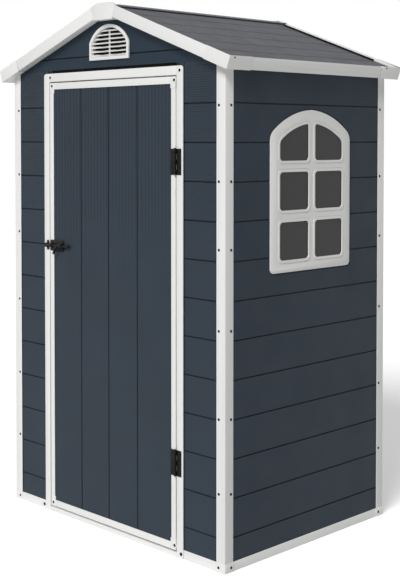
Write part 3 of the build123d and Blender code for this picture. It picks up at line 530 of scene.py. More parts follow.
def arched(half: float, foot: float, top: float, rise: float, steps: int = 20) -> Outline:
    """Outline of an opening with upright sides and the top of a circle over them.

    Args:
        half: half of its width.
        foot: its lower edge.
        top: its highest point.
        rise: height of the arch over its ends.
        steps: how many edges the arch has.

    Returns:
        The outline.
    """
    radius = (half**2 + rise**2) / (2 * rise)
    sweep = math.asin(half / radius)
    angles = [sweep * (1 - 2 * k / steps) for k in range(steps + 1)]
    crest = [(radius * math.sin(a), top - radius + radius * math.cos(a)) for a in angles]
    return [(-half, foot), (half, foot), *crest]


def local_box(node: str, facing: Facing) -> tuple[Vector, Vector]:
    """A node's box as if its wall faced the front.

    Args:
        node: the CAD node.
        facing: the way its wall faces.

    Returns:
        The lowest and the highest corner.
    """
    back = facing.turn().inverted()
    low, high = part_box(node)
    corners = [back @ low, back @ high]
    first = Vector(min(c[i] for c in corners) for i in range(3))
    last = Vector(max(c[i] for c in corners) for i in range(3))
    return first, last


def rounded(points: Outline, radii: list[float], steps: int = 5) -> Outline:
    """A closed outline with some of its corners rounded.

    Args:
        points: the corners in order.
        radii: one radius for each corner, 0 for a sharp one.
        steps: how many edges each rounding has.

    Returns:
        The outline with arcs in place of the corners.
    """
    result: Outline = []
    count = len(points)
    for i, radius in enumerate(radii):
        here = Vector(points[i])
        if radius <= 0:
            result.append(tuple(here))
            continue
        back = (Vector(points[i - 1]) - here).normalized()
        ahead = (Vector(points[(i + 1) % count]) - here).normalized()
        half = back.angle(ahead) / 2
        centre = here + (back + ahead).normalized() * (radius / math.sin(half))
        start = here + back * (radius / math.tan(half))
        end = here + ahead * (radius / math.tan(half))
        first = start - centre
        turn = first.angle_signed(end - centre)
        for k in range(steps + 1):
            spun = Matrix.Rotation(-turn * k / steps, 2) @ first
            result.append(tuple(centre + spun))
    return result


def groove(width: float, depth: float, chamfer: float = 0.0, narrowing: float = 0.6) -> Outline:
    """Section of a board groove's cutter, with chamfered lips if any, and a flat floor."""
    half = width / 2
    floor = half * narrowing
    right = [(floor, depth), (half, chamfer)]
    if chamfer > 0:
        right.append((half + chamfer, 0.0))
    right.append((half + chamfer, -CUTTER_LIP))
    return [(-across, inward) for across, inward in reversed(right)] + right


def vee(width: float, depth: float) -> Outline:
    """Section of a fine reed's cutter."""
    half = width / 2
    return [(-half, -CUTTER_LIP), (-half, 0.0), (0.0, depth), (half, 0.0), (half, -CUTTER_LIP)]


def circle(x: float, z: float, radius: float, sides: int) -> Outline:
    """A round outline about a point, with equal sides."""
    angles = [2 * math.pi * k / sides for k in range(sides)]
    return [(x + radius * math.cos(a), z + radius * math.sin(a)) for a in angles]


class Repeater:
    """Geometry Nodes that repeat a pattern along a line, or place one on marked points."""

    def __init__(self, seed: int = 7) -> None:
        """Build both node trees.

        Args:
            seed: for the turns by chance.
        """
        self.seed = seed
        self.line = self._line_tree()
        self.points = self._point_tree()

    @staticmethod
    def _tree(name: str, inputs: dict[str, str]) -> bpy.types.GeometryNodeTree:
        """A tree with a geometry in and out and some named inputs.

        Args:
            name: the tree's name.
            inputs: input names and their socket types.

        Returns:
            The new tree.
        """
        tree = bpy.data.node_groups.new(name, "GeometryNodeTree")
        tree.interface.new_socket("Geometry", in_out="OUTPUT", socket_type="NodeSocketGeometry")
        tree.interface.new_socket("Geometry", in_out="INPUT", socket_type="NodeSocketGeometry")
        for label, kind in inputs.items():
            tree.interface.new_socket(label, in_out="INPUT", socket_type=kind)
        return tree

    @staticmethod
    def _finish(
        tree: bpy.types.GeometryNodeTree, source: bpy.types.NodeSocket, group: bpy.types.Node
    ) -> None:
        """End a tree: realize the instances, set the finish and pass the mesh out.

        Args:
            tree: the node tree.
            source: the socket of the instances.
            group: the tree's input node.
        """
        realize = tree.nodes.new("GeometryNodeRealizeInstances")
        paint = tree.nodes.new("GeometryNodeSetMaterial")
        out = tree.nodes.new("NodeGroupOutput")
        tree.links.new(source, realize.inputs["Geometry"])
        tree.links.new(realize.outputs["Geometry"], paint.inputs["Geometry"])
        tree.links.new(group.outputs["Finish"], paint.inputs["Material"])
        tree.links.new(paint.outputs["Geometry"], out.inputs["Geometry"])

    def _line_tree(self) -> bpy.types.GeometryNodeTree:
        """Copies of a pattern at equal steps.

        Returns:
            The node tree.
        """
        kinds = {
            "Pattern": "NodeSocketObject",
            "Count": "NodeSocketInt",
            "Start": "NodeSocketVector",
            "Step": "NodeSocketVector",
            "Finish": "NodeSocketMaterial",
        }
        tree = self._tree("repeat_along_line", kinds)
        group = tree.nodes.new("NodeGroupInput")
        line = tree.nodes.new("GeometryNodeMeshLine")
        line.mode = "OFFSET"
        info = tree.nodes.new("GeometryNodeObjectInfo")
        place = tree.nodes.new("GeometryNodeInstanceOnPoints")
        tree.links.new(group.outputs["Pattern"], info.inputs["Object"])
        tree.links.new(group.outputs["Count"], line.inputs["Count"])
        tree.links.new(group.outputs["Start"], line.inputs["Start Location"])
        tree.links.new(group.outputs["Step"], line.inputs["Offset"])
        tree.links.new(line.outputs["Mesh"], place.inputs["Points"])
        tree.links.new(info.outputs["Geometry"], place.inputs["Instance"])
        self._finish(tree, place.outputs["Instances"], group)
        return tree

    def _point_tree(self) -> bpy.types.GeometryNodeTree:
        """A pattern on each point of the host mesh, facing as the point says, turned by chance.

        Returns:
            The node tree.
        """
        kinds = {
            "Pattern": "NodeSocketObject",
            "Seed": "NodeSocketInt",
            "Finish": "NodeSocketMaterial",
        }
        tree = self._tree("place_on_points", kinds)
        group = tree.nodes.new("NodeGroupInput")
        info = tree.nodes.new("GeometryNodeObjectInfo")
        facing = tree.nodes.new("GeometryNodeInputNamedAttribute")
        facing.data_type = "FLOAT_VECTOR"
        facing.inputs["Name"].default_value = "facing"
        align = tree.nodes.new("FunctionNodeAlignRotationToVector")
        align.axis = "Z"
        chance = tree.nodes.new("FunctionNodeRandomValue")
        chance.data_type = "FLOAT_VECTOR"
        chance.inputs["Min"].default_value = (0, 0, 0)
        chance.inputs["Max"].default_value = (0, 0, math.pi / 2)
        spin = tree.nodes.new("FunctionNodeEulerToRotation")
        turn = tree.nodes.new("FunctionNodeRotateRotation")
        turn.rotation_space = "LOCAL"
        place = tree.nodes.new("GeometryNodeInstanceOnPoints")
        tree.links.new(group.outputs["Pattern"], info.inputs["Object"])
        tree.links.new(group.outputs["Seed"], chance.inputs["Seed"])
        tree.links.new(facing.outputs["Attribute"], align.inputs["Vector"])
        tree.links.new(chance.outputs["Value"], spin.inputs["Euler"])
        tree.links.new(align.outputs["Rotation"], turn.inputs["Rotation"])
        tree.links.new(spin.outputs["Rotation"], turn.inputs["Rotate By"])
        tree.links.new(group.outputs["Geometry"], place.inputs["Points"])
        tree.links.new(info.outputs["Geometry"], place.inputs["Instance"])
        tree.links.new(turn.outputs["Rotation"], place.inputs["Rotation"])
        self._finish(tree, place.outputs["Instances"], group)
        return tree

    @staticmethod
    def _run(host: bpy.types.Object, tree: bpy.types.GeometryNodeTree, values: dict[str, object]) -> None:
        """Run a tree on a host object and keep its result as the host's mesh.

        Args:
            host: the object that carries the modifier.
            tree: the node tree.
            values: the inputs by name.
        """
        step = host.modifiers.new(tree.name, "NODES")
        step.node_group = tree
        for item in tree.interface.items_tree:
            if item.in_out == "INPUT" and item.name in values:
                step[item.identifier] = values[item.name]
        settle(host)

    def along(
        self,
        name: str,
        pattern: bpy.types.Object,
        count: int,
        start: Vector,
        step: Vector,
        finish: bpy.types.Material,
    ) -> bpy.types.Object:
        """Repeat a pattern along a line, and discard the pattern.

        Args:
            name: the new object's name.
            pattern: what is repeated.
            count: how many.
            start: place of the first.
            step: from one to the next.
            finish: the material of all.

        Returns:
            One plain mesh object.
        """
        host = new_piece(name, bpy.data.meshes.new(name))
        values = {"Pattern": pattern, "Count": count, "Start": start, "Step": step, "Finish": finish}
        self._run(host, self.line, values)
        discard(pattern)
        return host

    def on_points(
        self, name: str, pattern: bpy.types.Object, spots: Spots, finish: bpy.types.Material
    ) -> bpy.types.Object:
        """Place a pattern on points, each facing its own way.

        Args:
            name: the new object's name.
            pattern: what is placed; its own Z turns to the facing.
            spots: places and facings.
            finish: the material of all.

        Returns:
            One plain mesh object.
        """
        mesh = bpy.data.meshes.new(name)
        mesh.from_pydata([tuple(spot) for spot, _ in spots], [], [])
        facing = mesh.attributes.new("facing", "FLOAT_VECTOR", "POINT")
        facing.data.foreach_set("vector", [c for _, way in spots for c in way])
        host = new_piece(name, mesh)
        self._run(host, self.points, {"Pattern": pattern, "Seed": self.seed, "Finish": finish})
        return host


def finish_piece(
    piece: bpy.types.Object, body: Body, slot: str, material: bpy.types.Material, *nodes: str
) -> bpy.types.Object:
    """Give a piece its material and body, and let it stand for CAD nodes.

    Args:
        piece: the piece.
        body: the body that it rides on.
        slot: the record's material slot; not used.
        material: its finish.
        nodes: CAD nodes that it replaces.

    Returns:
        The piece.
    """
    piece.data.materials.clear()
    piece.data.materials.append(material)
    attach(piece, body.value)
    if nodes:
        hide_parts(*nodes)
    LOG.info("%s: %d faces on %s", piece.name, len(piece.data.polygons), body.value)
    return piece


def repaint(node: str, material: bpy.types.Material) -> None:
    """Give a CAD node that stays as it is its finish."""
    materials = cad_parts[node].data.materials
    materials.clear()
    materials.append(material)


def soften(piece: bpy.types.Object, width: float, segments: int = 2, angle: float = 35.0) -> None:
    """Round the sharp edges of a piece.

    Args:
        piece: the piece.
        width: width of the rounding in metres.
        segments: how many faces each rounding has.
        angle: edges sharper than this are rounded, in degrees.
    """
    step = piece.modifiers.new("soften", "BEVEL")
    step.width = width
    step.segments = segments
    step.limit_method = "ANGLE"
    step.angle_limit = math.radians(angle)
    step.use_clamp_overlap = False
    step.harden_normals = True
    piece.data.polygons.foreach_set("use_smooth", [True] * len(piece.data.polygons))


# Sub-assemblies


@dataclass
class BoardWalls:
    """The dark wall panels with their board grooves and fine level reeds that run out downwards."""

    finishes: Finishes
    repeater: Repeater
    groove_width: float = 0.0042
    groove_depth: float = 0.0065
    groove_chamfer: float = 0.0012
    gable_groove: float = 1.830
    top_margin: float = 0.01
    foot_margin: float = 0.02
    reed_foot: float = 0.03
    reeds_per_board: int = 16
    reed_width: float = 0.0050
    reed_depth: float = 0.0016
    reed_fade: float = 0.0034
    recess: tuple[float, float, float, float] = (-0.356, 0.362, 1.7695, 1.7848)
    recess_depth: float = 0.0105
    # thickness of the black sheet laid in the head recess as painted shadow
    shadow_sheet: float = 0.004
    bite: float = 0.0005
    border_line: float = 0.004
    border_depth: float = 0.004
    border_band: float = 0.013

    def section(self) -> Outline:
        """Section of the board grooves."""
        return groove(self.groove_width, self.groove_depth, self.groove_chamfer)

    def cut_row(
        self,
        piece: bpy.types.Object,
        facing: Facing,
        bar: bpy.types.Object,
        count: int,
        start: Vector,
        step: Vector,
    ) -> None:
        """Cut a row of equal bars out of a wall panel.

        Args:
            piece: the panel.
            facing: the way its wall faces.
            bar: one bar, as for a front wall.
            count: how many bars.
            start: the first bar's place, as for a front wall.
            step: from one bar to the next.
        """
        row = self.repeater.along("bars", bar, count, start, step, self.finishes.boards)
        row.data.transform(facing.turn())
        carve(piece, row)

    def grooves(self, piece: bpy.types.Object, node: str, facing: Facing) -> None:
        """Cut the board grooves of a panel.

        Args:
            piece: the panel.
            node: its CAD node.
            facing: the way its wall faces.
        """
        low, high = local_box(node, facing)
        top = BOARD_FIRST_GROOVE
        while top + BOARD_PITCH < high.z - self.top_margin:
            top += BOARD_PITCH
        count = int((top - low.z - self.foot_margin) / BOARD_PITCH) + 1
        bar = prism("board_groove", self.section(), high.x - low.x + OVERCUT, Run.LEVEL)
        start = Vector(((low.x + high.x) / 2, low.y, top))
        self.cut_row(piece, facing, bar, count, start, Vector((0, 0, -BOARD_PITCH)))

    def reeding(self, piece: bpy.types.Object, node: str, left: float, right: float) -> None:
        """Cut the fine level reeds of a narrow front panel, with a smooth border at both sides.

        Args:
            piece: the panel.
            node: its CAD node.
            left: where the visible face starts.
            right: where it ends.
        """
        low, high = local_box(node, Facing.FRONT)
        pitch = BOARD_PITCH / self.reeds_per_board
        inset = self.border_line + self.border_band
        bar = prism("reed", vee(self.reed_width, self.reed_depth), right - left - 2 * inset, Run.LEVEL)
        first = BOARD_FIRST_GROOVE + BOARD_PITCH - pitch / 2
        count = int((first - low.z - self.reed_foot) / pitch)
        start = Vector(((left + right) / 2, low.y, first))
        step = Vector((0, -self.reed_fade / count, -pitch))
        self.cut_row(piece, Facing.FRONT, bar, count, start, step)
        height = high.z - low.z + OVERCUT
        line = prism("border", groove(self.border_line, self.border_depth), height, Run.UPRIGHT)
        reach = right - left - self.border_line
        start = Vector((left + self.border_line / 2, low.y, (low.z + high.z) / 2))
        self.cut_row(piece, Facing.FRONT, line, 2, start, Vector((reach, 0, 0)))

    def build(self) -> None:
        """Make every wall panel."""
        sides = {
            "right_wall_panel": Facing.RIGHT,
            "left_wall_panel": Facing.LEFT,
            "rear_wall_panel": Facing.BACK,
            "front_panel_right": Facing.FRONT,
            "front_panel_left": Facing.FRONT,
        }
        jamb_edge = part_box("door_jamb_right")[1].x
        post_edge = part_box("post_front_right")[0].x
        for node, facing in sides.items():
            piece = merged_copy(node, f"{node}_boards", flatten=False)
            self.grooves(piece, node, facing)
            if node == "front_panel_right":
                self.reeding(piece, node, jamb_edge, post_edge)
            if node == "front_panel_left":
                self.reeding(piece, node, -post_edge, -jamb_edge)
            finish_piece(piece, Body.SHED, "dark_panel", self.finishes.boards, node)
        # Both gable panels take the darker gable finish, which is painted shade under the roof's overhang.
        for node, facing in (("front_gable_panel", Facing.FRONT), ("rear_gable_panel", Facing.BACK)):
            piece = merged_copy(node, f"{node}_boards", flatten=False)
            low, high = local_box(node, facing)
            bar = prism("gable_groove", self.section(), high.x - low.x + OVERCUT, Run.LEVEL)
            start = Vector((0, low.y, self.gable_groove))
            self.cut_row(piece, facing, bar, 1, start, Vector((0, 0, BOARD_PITCH)))
            if facing is Facing.FRONT:
                self.head_recess(piece, low.y)
            finish_piece(piece, Body.SHED, "dark_panel", self.finishes.gable, node)

    def head_recess(self, piece: bpy.types.Object, face: float) -> None:
        """Cut the recess over the door's head, and lay a black sheet in it as painted shadow.

        Args:
            piece: the front gable's panel.
            face: depth of its face.
        """
        left, right, foot, head = self.recess
        gap = [(left, foot), (right, foot), (right, head), (left, head)]
        floor = face + self.recess_depth
        carve(piece, plate("recess", gap, face - OVERCUT, floor))
        # The black sheet in the recess is painted shadow, the dark line over the door's head.
        shadow_sheet = plate("head_packing", gap, floor - self.shadow_sheet, floor + self.bite)
        finish_piece(shadow_sheet, Body.SHED, "black_metal", self.finishes.painted_shade_black)


@dataclass
class DoorBoards:
    """The door's panel: three board grooves, and upright ribs that run out half way down."""

    finishes: Finishes
    repeater: Repeater
    middle: float = -0.0085
    board_width: float = 0.1643
    ribs_per_board: int = 9
    rib_width: float = 0.0085
    rib_depth: float = 0.0038
    rib_fade: float = 0.0076
    groove_width: float = 0.0046
    groove_depth: float = 0.0065
    groove_chamfer: float = 0.0010
    groove_floor: float = 0.8
    groove_count: int = 3
    hole_radius: float = 0.0025
    hole_depth: float = 0.006
    hole_spots: tuple[tuple[float, float], ...] = ((-0.309, 1.194), (-0.309, 1.171))

    def build(self) -> None:
        """Make the door panel."""
        node = "door_panel"
        piece = merged_copy(node, "door_panel_boards", flatten=False)
        low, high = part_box(node)
        height = high.z - low.z + OVERCUT
        centre = (low.z + high.z) / 2
        finish = self.finishes.boards
        pitch = self.board_width / self.ribs_per_board
        count = int((high.x - low.x) / pitch) - 1
        half = (count - 1) // 2
        bar = prism("rib", vee(self.rib_width, self.rib_depth), height, Run.UPRIGHT)
        lean = Matrix.Identity(4)
        lean[1][2] = self.rib_fade / height
        bar.data.transform(lean)
        start = Vector((self.middle + pitch / 2 - half * pitch, low.y - self.rib_fade / 2, centre))
        carve(piece, self.repeater.along("ribs", bar, count, start, Vector((pitch, 0, 0)), finish))
        section = groove(self.groove_width, self.groove_depth, self.groove_chamfer, self.groove_floor)
        line = prism("board_groove", section, height, Run.UPRIGHT)
        start = Vector((self.middle - self.board_width, low.y, centre))
        step = Vector((self.board_width, 0, 0))
        carve(piece, self.repeater.along("board_grooves", line, self.groove_count, start, step, finish))
        for x, z in self.hole_spots:
            hole = circle(x, z, self.hole_radius, 12)
            carve(piece, plate("hole", hole, low.y - OVERCUT, low.y + self.hole_depth))
        finish_piece(piece, Body.DOOR, "dark_panel", finish, node)


@dataclass(frozen=True)
class Slope:
    """The plane over the tops of the roof trims, and places along it and square to it."""

    apex: float = 2.0360
    pitch: float = 20.13
    edge: float = 0.7072

    def measure(self, place: Vector) -> tuple[float, float]:
        """Distance down the slope from the apex line, and height over the plane."""
        tilt = math.radians(self.pitch)
        drop = place.z - self.apex
        down = abs(place.x) * math.cos(tilt) - drop * math.sin(tilt)
        over = abs(place.x) * math.sin(tilt) + drop * math.cos(tilt)
        return down, over

    def up(self, side: int) -> Vector:
        """The direction square to the slope on the right, 1, or the left, -1."""
        tilt = math.radians(self.pitch)
        return Vector((side * math.sin(tilt), 0, math.cos(tilt)))

    def down(self, side: int) -> Vector:
        """The direction down the slope on the right, 1, or the left, -1."""
        tilt = math.radians(self.pitch)
        return Vector((side * math.cos(tilt), 0, -math.sin(tilt)))

    def place(self, side: int, along: float, depth: float, over: float) -> Vector:
        """A point from its distance down the slope, its depth and its height over the plane."""
        return Vector((0, depth, self.apex)) + self.down(side) * along + self.up(side) * over


@dataclass
class Profiles:
    """White profiles, roof trims and hardware: the CAD shapes with moulded, rounded edges."""

    finishes: Finishes
    slope: Slope = Slope()
    edge: float = 0.0009
    steel_edge: float = 0.0003
    pin_edge: float = 0.0004
    lip_reach: float = 0.4805
    lip_start: float = 0.697
    lip_under: float = -0.005
    lip_lean: float = 0.006
    seam: float = 0.0022
    seam_depth: float = 0.37
    seam_along: float = 0.585
    crown_half: float = 0.055
    crown_side: float = 0.054
    crown_edge: float = 2.0190
    crown_under: float = 2.0110
    crown_fall: float = 0.009
    crown_drip: float = 0.003

    def build(self) -> None:
        """Make every profile."""
        plain, steel = self.finishes.white, self.finishes.steel
        across, upright = self.finishes.white_across, self.finishes.white_upright
        deep = self.finishes.white_deep
        shed = {
            "base_rail_front": across,
            "base_rail_rear": across,
            "base_rail_left": deep,
            "base_rail_right": deep,
            "door_sill": across,
            "base_corner_blocks": plain,
            "post_front_right": upright,
            "post_front_left": upright,
            "post_rear_right": upright,
            "post_rear_left": upright,
            "door_jamb_right": upright,
            "door_jamb_left": upright,
            "door_head": across,
            "rake_trim_front": plain,
            "rake_trim_rear": plain,
            "peak_caps": plain,
            "eave_trim_right": deep,
            "eave_trim_left": deep,
            "roof_corner_caps": plain,
        }
        door = {
            "door_stile_right": upright,
            "door_stile_left": upright,
            "door_rail_top": across,
            "door_rail_bottom": across,
            "door_corner_pieces": plain,
        }
        for nodes, body in ((shed, Body.SHED), (door, Body.DOOR)):
            for node, white in nodes.items():
                self.profile(node, body, "white_trim", white, self.edge)
        for node, body in (
            ("hinge_frame_plates", Body.SHED),
            ("hinge_pins", Body.SHED),
            ("bolt_keeper", Body.SHED),
            ("hinge_door_plates", Body.DOOR),
            ("bolt_housing", Body.DOOR),
            ("bolt_rod", Body.BOLT),
        ):
            edge = self.pin_edge if node == "hinge_pins" else self.steel_edge
            self.profile(node, body, "black_metal", steel, edge)
        self.profile("ridge_cap", Body.SHED, "roof_plastic", self.finishes.ridge, self.edge)

    def lean_lip(self, piece: bpy.types.Object) -> None:
        """Lean the lip of a roof trim down to the roof panel, away from its outer edge."""
        for vert in piece.data.vertices:
            along, over = self.slope.measure(vert.co)
            if abs(vert.co.y) < self.lip_reach and along < self.lip_start and over > self.lip_under:
                vert.co -= self.slope.up(1 if vert.co.x > 0 else -1) * self.lip_lean

    def open_seam(self, piece: bpy.types.Object, node: str) -> None:
        """Draw an eave trim back from its rear cap, or the left front rake trim from its foot's cap."""
        for vert in piece.data.vertices:
            along, _ = self.slope.measure(vert.co)
            if node.startswith("eave_trim") and vert.co.y > self.seam_depth:
                vert.co.y -= self.seam
            elif node == "rake_trim_front" and along > self.seam_along and vert.co.x < 0:
                vert.co -= self.slope.down(-1) * self.seam

    def arch_crown(self, piece: bpy.types.Object) -> None:
        """Let the crown of the ridge cap fall towards both of its edges, which drop a little."""
        for vert in piece.data.vertices:
            if vert.co.z > self.crown_edge:
                vert.co.z -= self.crown_fall * (vert.co.x / self.crown_half) ** 4
            elif vert.co.z > self.crown_under and abs(vert.co.x) > self.crown_side:
                vert.co.z -= self.crown_drip

    def profile(self, node: str, body: Body, slot: str, material: bpy.types.Material, edge: float) -> None:
        """Make one profile.

        Args:
            node: the CAD node.
            body: the body that it rides on.
            slot: the record's slot.
            material: its finish.
            edge: width of its rounded edges in metres.
        """
        roof_trim = node.startswith(("rake_trim", "eave_trim", "roof_corner"))
        piece = merged_copy(node, f"{node}_moulded", flatten=not roof_trim)
        if roof_trim:
            self.lean_lip(piece)
            self.open_seam(piece, node)
        if node == "ridge_cap":
            self.arch_crown(piece)
        soften(piece, edge)
        finish_piece(piece, body, slot, material, node)


@dataclass
class GableVent:
    """The gable's louvred vent, its blades cut back so that a black sheet behind them shows: painted shade
    for the dark inside.
    """

    finishes: Finishes
    half_width: float = 0.1018
    margin: float = 0.0122
    arch_rise: float = 0.0600
    blade_end: float = -0.4527
    edge: float = 0.0004
    # offsets of the black sheet of painted shade in from the vent's back face
    shade_backing: tuple[float, float] = (0.0020, 0.0010)

    def build(self) -> None:
        """Make the vent and the black sheet of painted shade behind it."""
        low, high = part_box("gable_vent")
        piece = merged_copy("gable_vent", "gable_vent_moulded", flatten=False)
        mouth = arched(self.half_width, low.z + self.margin, high.z - self.margin, self.arch_rise)
        carve(piece, plate("room", mouth, self.blade_end, high.y + OVERCUT))
        soften(piece, self.edge)
        finish_piece(piece, Body.SHED, "white_trim", self.finishes.white, "gable_vent")
        # painted shade: a black sheet behind the blades stands for the dark inside the shed
        near, far = self.shade_backing
        shade_backing = plate("vent_screen", mouth, high.y - near, high.y - far)
        finish_piece(shade_backing, Body.SHED, "black_metal", self.finishes.painted_shade_black)


@dataclass
class ArchedWindow:
    """The window's moulded frame with six rimmed openings, its seat in the wall and its pane."""

    finishes: Finishes
    half_width: float = 0.2295
    bottom: float = 1.026
    top: float = 1.6186
    arch_radius: float = 0.370
    arch_offset: float = 0.015
    border: float = 0.0493
    foot_corner: float = 0.018
    shoulder: float = 0.024
    least_corner: float = 0.002
    bend_share: float = 0.85
    arch_steps: int = 16
    bar_half: float = 0.018
    rows: tuple[tuple[float, float], ...] = ((1.070, 1.209), (1.2515, 1.391))
    top_row_sill: float = 1.432
    pane_corner: float = 0.015
    rim_width: float = 0.0095
    rim_height: float = 0.0016
    moat_width: float = 0.0026
    moat_depth: float = 0.0013
    edge_slope: float = 0.0035
    edge_drop: float = 0.0018
    seat_margin: float = 0.0055
    seat_depth: float = 0.003
    skirt_width: float = 0.031
    gap: float = 0.0002
    bite: float = 0.0004
    edge: float = 0.0006

    def crown(self, across: float, inset: float) -> float:
        """Height of the arch at a distance from the window's middle."""
        foot = self.top - math.sqrt(self.arch_radius**2 - self.arch_offset**2)
        reach = abs(across) + self.arch_offset
        return foot + math.sqrt((self.arch_radius - inset) ** 2 - reach**2)

    @staticmethod
    def eased(before: Vector, corner: Vector, after: Vector, steps: int = 6) -> Outline:
        """A smooth bend in place of a corner, from one point to another."""
        shares = [k / steps for k in range(steps + 1)]
        return [tuple(before * (1 - t) ** 2 + corner * (2 * t * (1 - t)) + after * t**2) for t in shares]

    def arch(self, inset: float, near: float, far: float, low: float, foot: float, bend: float) -> Outline:
        """Outline with upright sides, a level foot and part of the window's arch on top.

        Args:
            inset: how far inside the outer arch it runs.
            near: the side nearer the middle, or the left side of the whole window.
            far: the right side.
            low: the foot.
            foot: radius of both lower corners.
            bend: length of the bends where the sides meet the arch.

        Returns:
            The outline.
        """
        points = []
        for side, inward in ((far, -1), (near, 1)):
            corner = Vector((side, self.crown(side, inset)))
            past = side + inward * bend * self.bend_share
            up = Vector((side, corner.y - bend))
            along = Vector((past, self.crown(past, inset)))
            points.append(self.eased(up, corner, along))
        right, left = points
        first, last = right[-1][0], left[-1][0]
        inner = [first + (last - first) * k / self.arch_steps for k in range(1, self.arch_steps)]
        crest = [(x, self.crown(x, inset)) for x in inner]
        floor = rounded([left[0], (near, low), (far, low), right[0]], [0, foot, foot, 0])[1:-1]
        return [*floor, *right, *crest, *reversed(left)]

    def openings(self, grow: float) -> list[Outline]:
        """The six pane openings, each grown by a margin."""
        r = self.pane_corner + grow / 2
        near = self.bar_half - grow
        far = self.half_width - self.border + grow
        shapes = []
        for low, high in self.rows:
            corners = [(near, low - grow), (far, low - grow), (far, high + grow), (near, high + grow)]
            shapes.append(rounded(corners, [r] * 4))
        bend = self.pane_corner + grow
        shapes.append(self.arch(self.border - grow, near, far, self.top_row_sill - grow, r, bend))
        return shapes + [[(-x, z) for x, z in reversed(shape)] for shape in shapes]

    def whole(self, inset: float) -> Outline:
        """The frame's own outline, drawn in by an inset."""
        half = self.half_width - inset
        foot = max(self.foot_corner - inset, self.least_corner)
        bend = max(self.shoulder - inset / 2, 2 * self.least_corner)
        return self.arch(inset, -half, half, self.bottom + inset, foot, bend)

    def build(self) -> None:
        """Make the frame, seat it in the wall's boards and dress the pane."""
        low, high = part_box("window_frame")
        middle = (low.y + high.y) / 2
        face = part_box("right_wall_panel")[1].x
        proud = high.x - face
        pane_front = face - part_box("window_pane")[1].x - self.gap
        front = self.rim_height - proud
        place = Matrix.Translation((0, middle, 0)) @ Facing.RIGHT.turn() @ Matrix.Translation((0, -face, 0))
        layers = [
            (self.whole(self.edge_slope), front),
            (self.whole(0.0), front + self.edge_drop),
            (self.whole(0.0), self.seat_depth - self.gap),
        ]
        piece = stack("window_frame_moulded", layers)
        carve(piece, plate("pocket", self.whole(self.skirt_width), pane_front, pane_front + 2 * OVERCUT))
        for shape in self.openings(self.rim_width + self.moat_width):
            carve(piece, plate("moat", shape, front - OVERCUT, front + self.moat_depth))
        for shape in self.openings(self.rim_width):
            carve(piece, plate("rim", shape, -proud, front + self.moat_depth + self.bite), "UNION")
        for shape in self.openings(0.0):
            carve(piece, plate("opening", shape, -proud - OVERCUT, pane_front + OVERCUT))
        piece.data.transform(place)
        soften(piece, self.edge, angle=40.0)
        finish_piece(piece, Body.SHED, "white_trim", self.finishes.white, "window_frame")
        sleeve = merged_copy("window_frame", "window_sleeve", flatten=False)
        sleeve.data.transform(place.inverted())
        wide = [(-1, 0), (1, 0), (1, 3), (-1, 3)]
        keep = plate("keep", wide, pane_front + self.gap * 1.5, 10 * OVERCUT)
        carve(sleeve, keep, "INTERSECT")
        sleeve.data.transform(place)
        finish_piece(sleeve, Body.SHED, "white_trim", self.finishes.white)
        seat = plate("seat", self.whole(-self.seat_margin), -OVERCUT, self.seat_depth)
        seat.data.transform(place)
        carve(bpy.data.objects["right_wall_panel_boards"], seat)
        repaint("window_pane", self.finishes.pane)


@dataclass
class RoofPanels:
    """Both roof panels with shallow lines parallel to the ridge."""

    finishes: Finishes
    repeater: Repeater
    lines: int = 5
    line_width: float = 0.0045
    line_depth: float = 0.0019
    line_chamfer: float = 0.0008
    bar_length: float = 1.2
    panel_edge: float = 0.004

    def build(self) -> None:
        """Make both panels."""
        for node in ("roof_panel_right", "roof_panel_left"):
            piece = merged_copy(node, f"{node}_lined", flatten=False)
            low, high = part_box(node)
            side = 1 if high.x > abs(low.x) else -1
            verts = [v.co for v in piece.data.vertices]
            ridge_end = min(verts, key=lambda v: abs(v.x) - v.z)
            upper = [v for v in verts if v.z > low.z + self.panel_edge]
            eave_end = max(upper, key=lambda v: abs(v.x) + v.z / 100)
            down = Vector((eave_end.x - ridge_end.x, 0, eave_end.z - ridge_end.z))
            tilt = math.atan2(-down.z, abs(down.x)) * side
            step = down / (self.lines + 1)
            start = Vector((ridge_end.x, 0, ridge_end.z)) + step
            section = groove(self.line_width, self.line_depth, self.line_chamfer)
            bar = prism("roof_line", section, self.bar_length, Run.LEVEL)
            for degrees, axis in ((90, "Z"), (-90, "Y")):
                bar.data.transform(Matrix.Rotation(math.radians(degrees), 4, axis))
            bar.data.transform(Matrix.Rotation(tilt, 4, "Y"))
            row = self.repeater.along("roof_lines", bar, self.lines, start, step, self.finishes.roof)
            carve(piece, row)
            finish_piece(piece, Body.SHED, "roof_plastic", self.finishes.roof, node)


@dataclass
class RearShadeStrips:
    """Black strips on the roof panels in front of the rear trims' lips: painted shade for the dark line
    there.
    """

    finishes: Finishes
    slope: Slope = Slope()
    along: tuple[float, float] = (0.083, 0.586)
    depth: tuple[float, float] = (0.4640, 0.4698)
    over: tuple[float, float] = (-0.0104, -0.0030)
    edge: float = 0.0008

    def build(self) -> None:
        """Make both strips as one mesh."""
        near, far = self.depth
        foot, top = self.over
        corners = [(near, foot), (far, foot), (far, top), (near, top)]
        solids = [
            [[self.slope.place(side, along, *corner) for corner in corners] for along in self.along]
            for side in (1, -1)
        ]
        strips = loft("roof_rear_seals", solids)
        soften(strips, self.edge)
        # The strips take the near-black finish as painted shade.
        finish_piece(strips, Body.SHED, "roof_plastic", self.finishes.painted_shade_black)


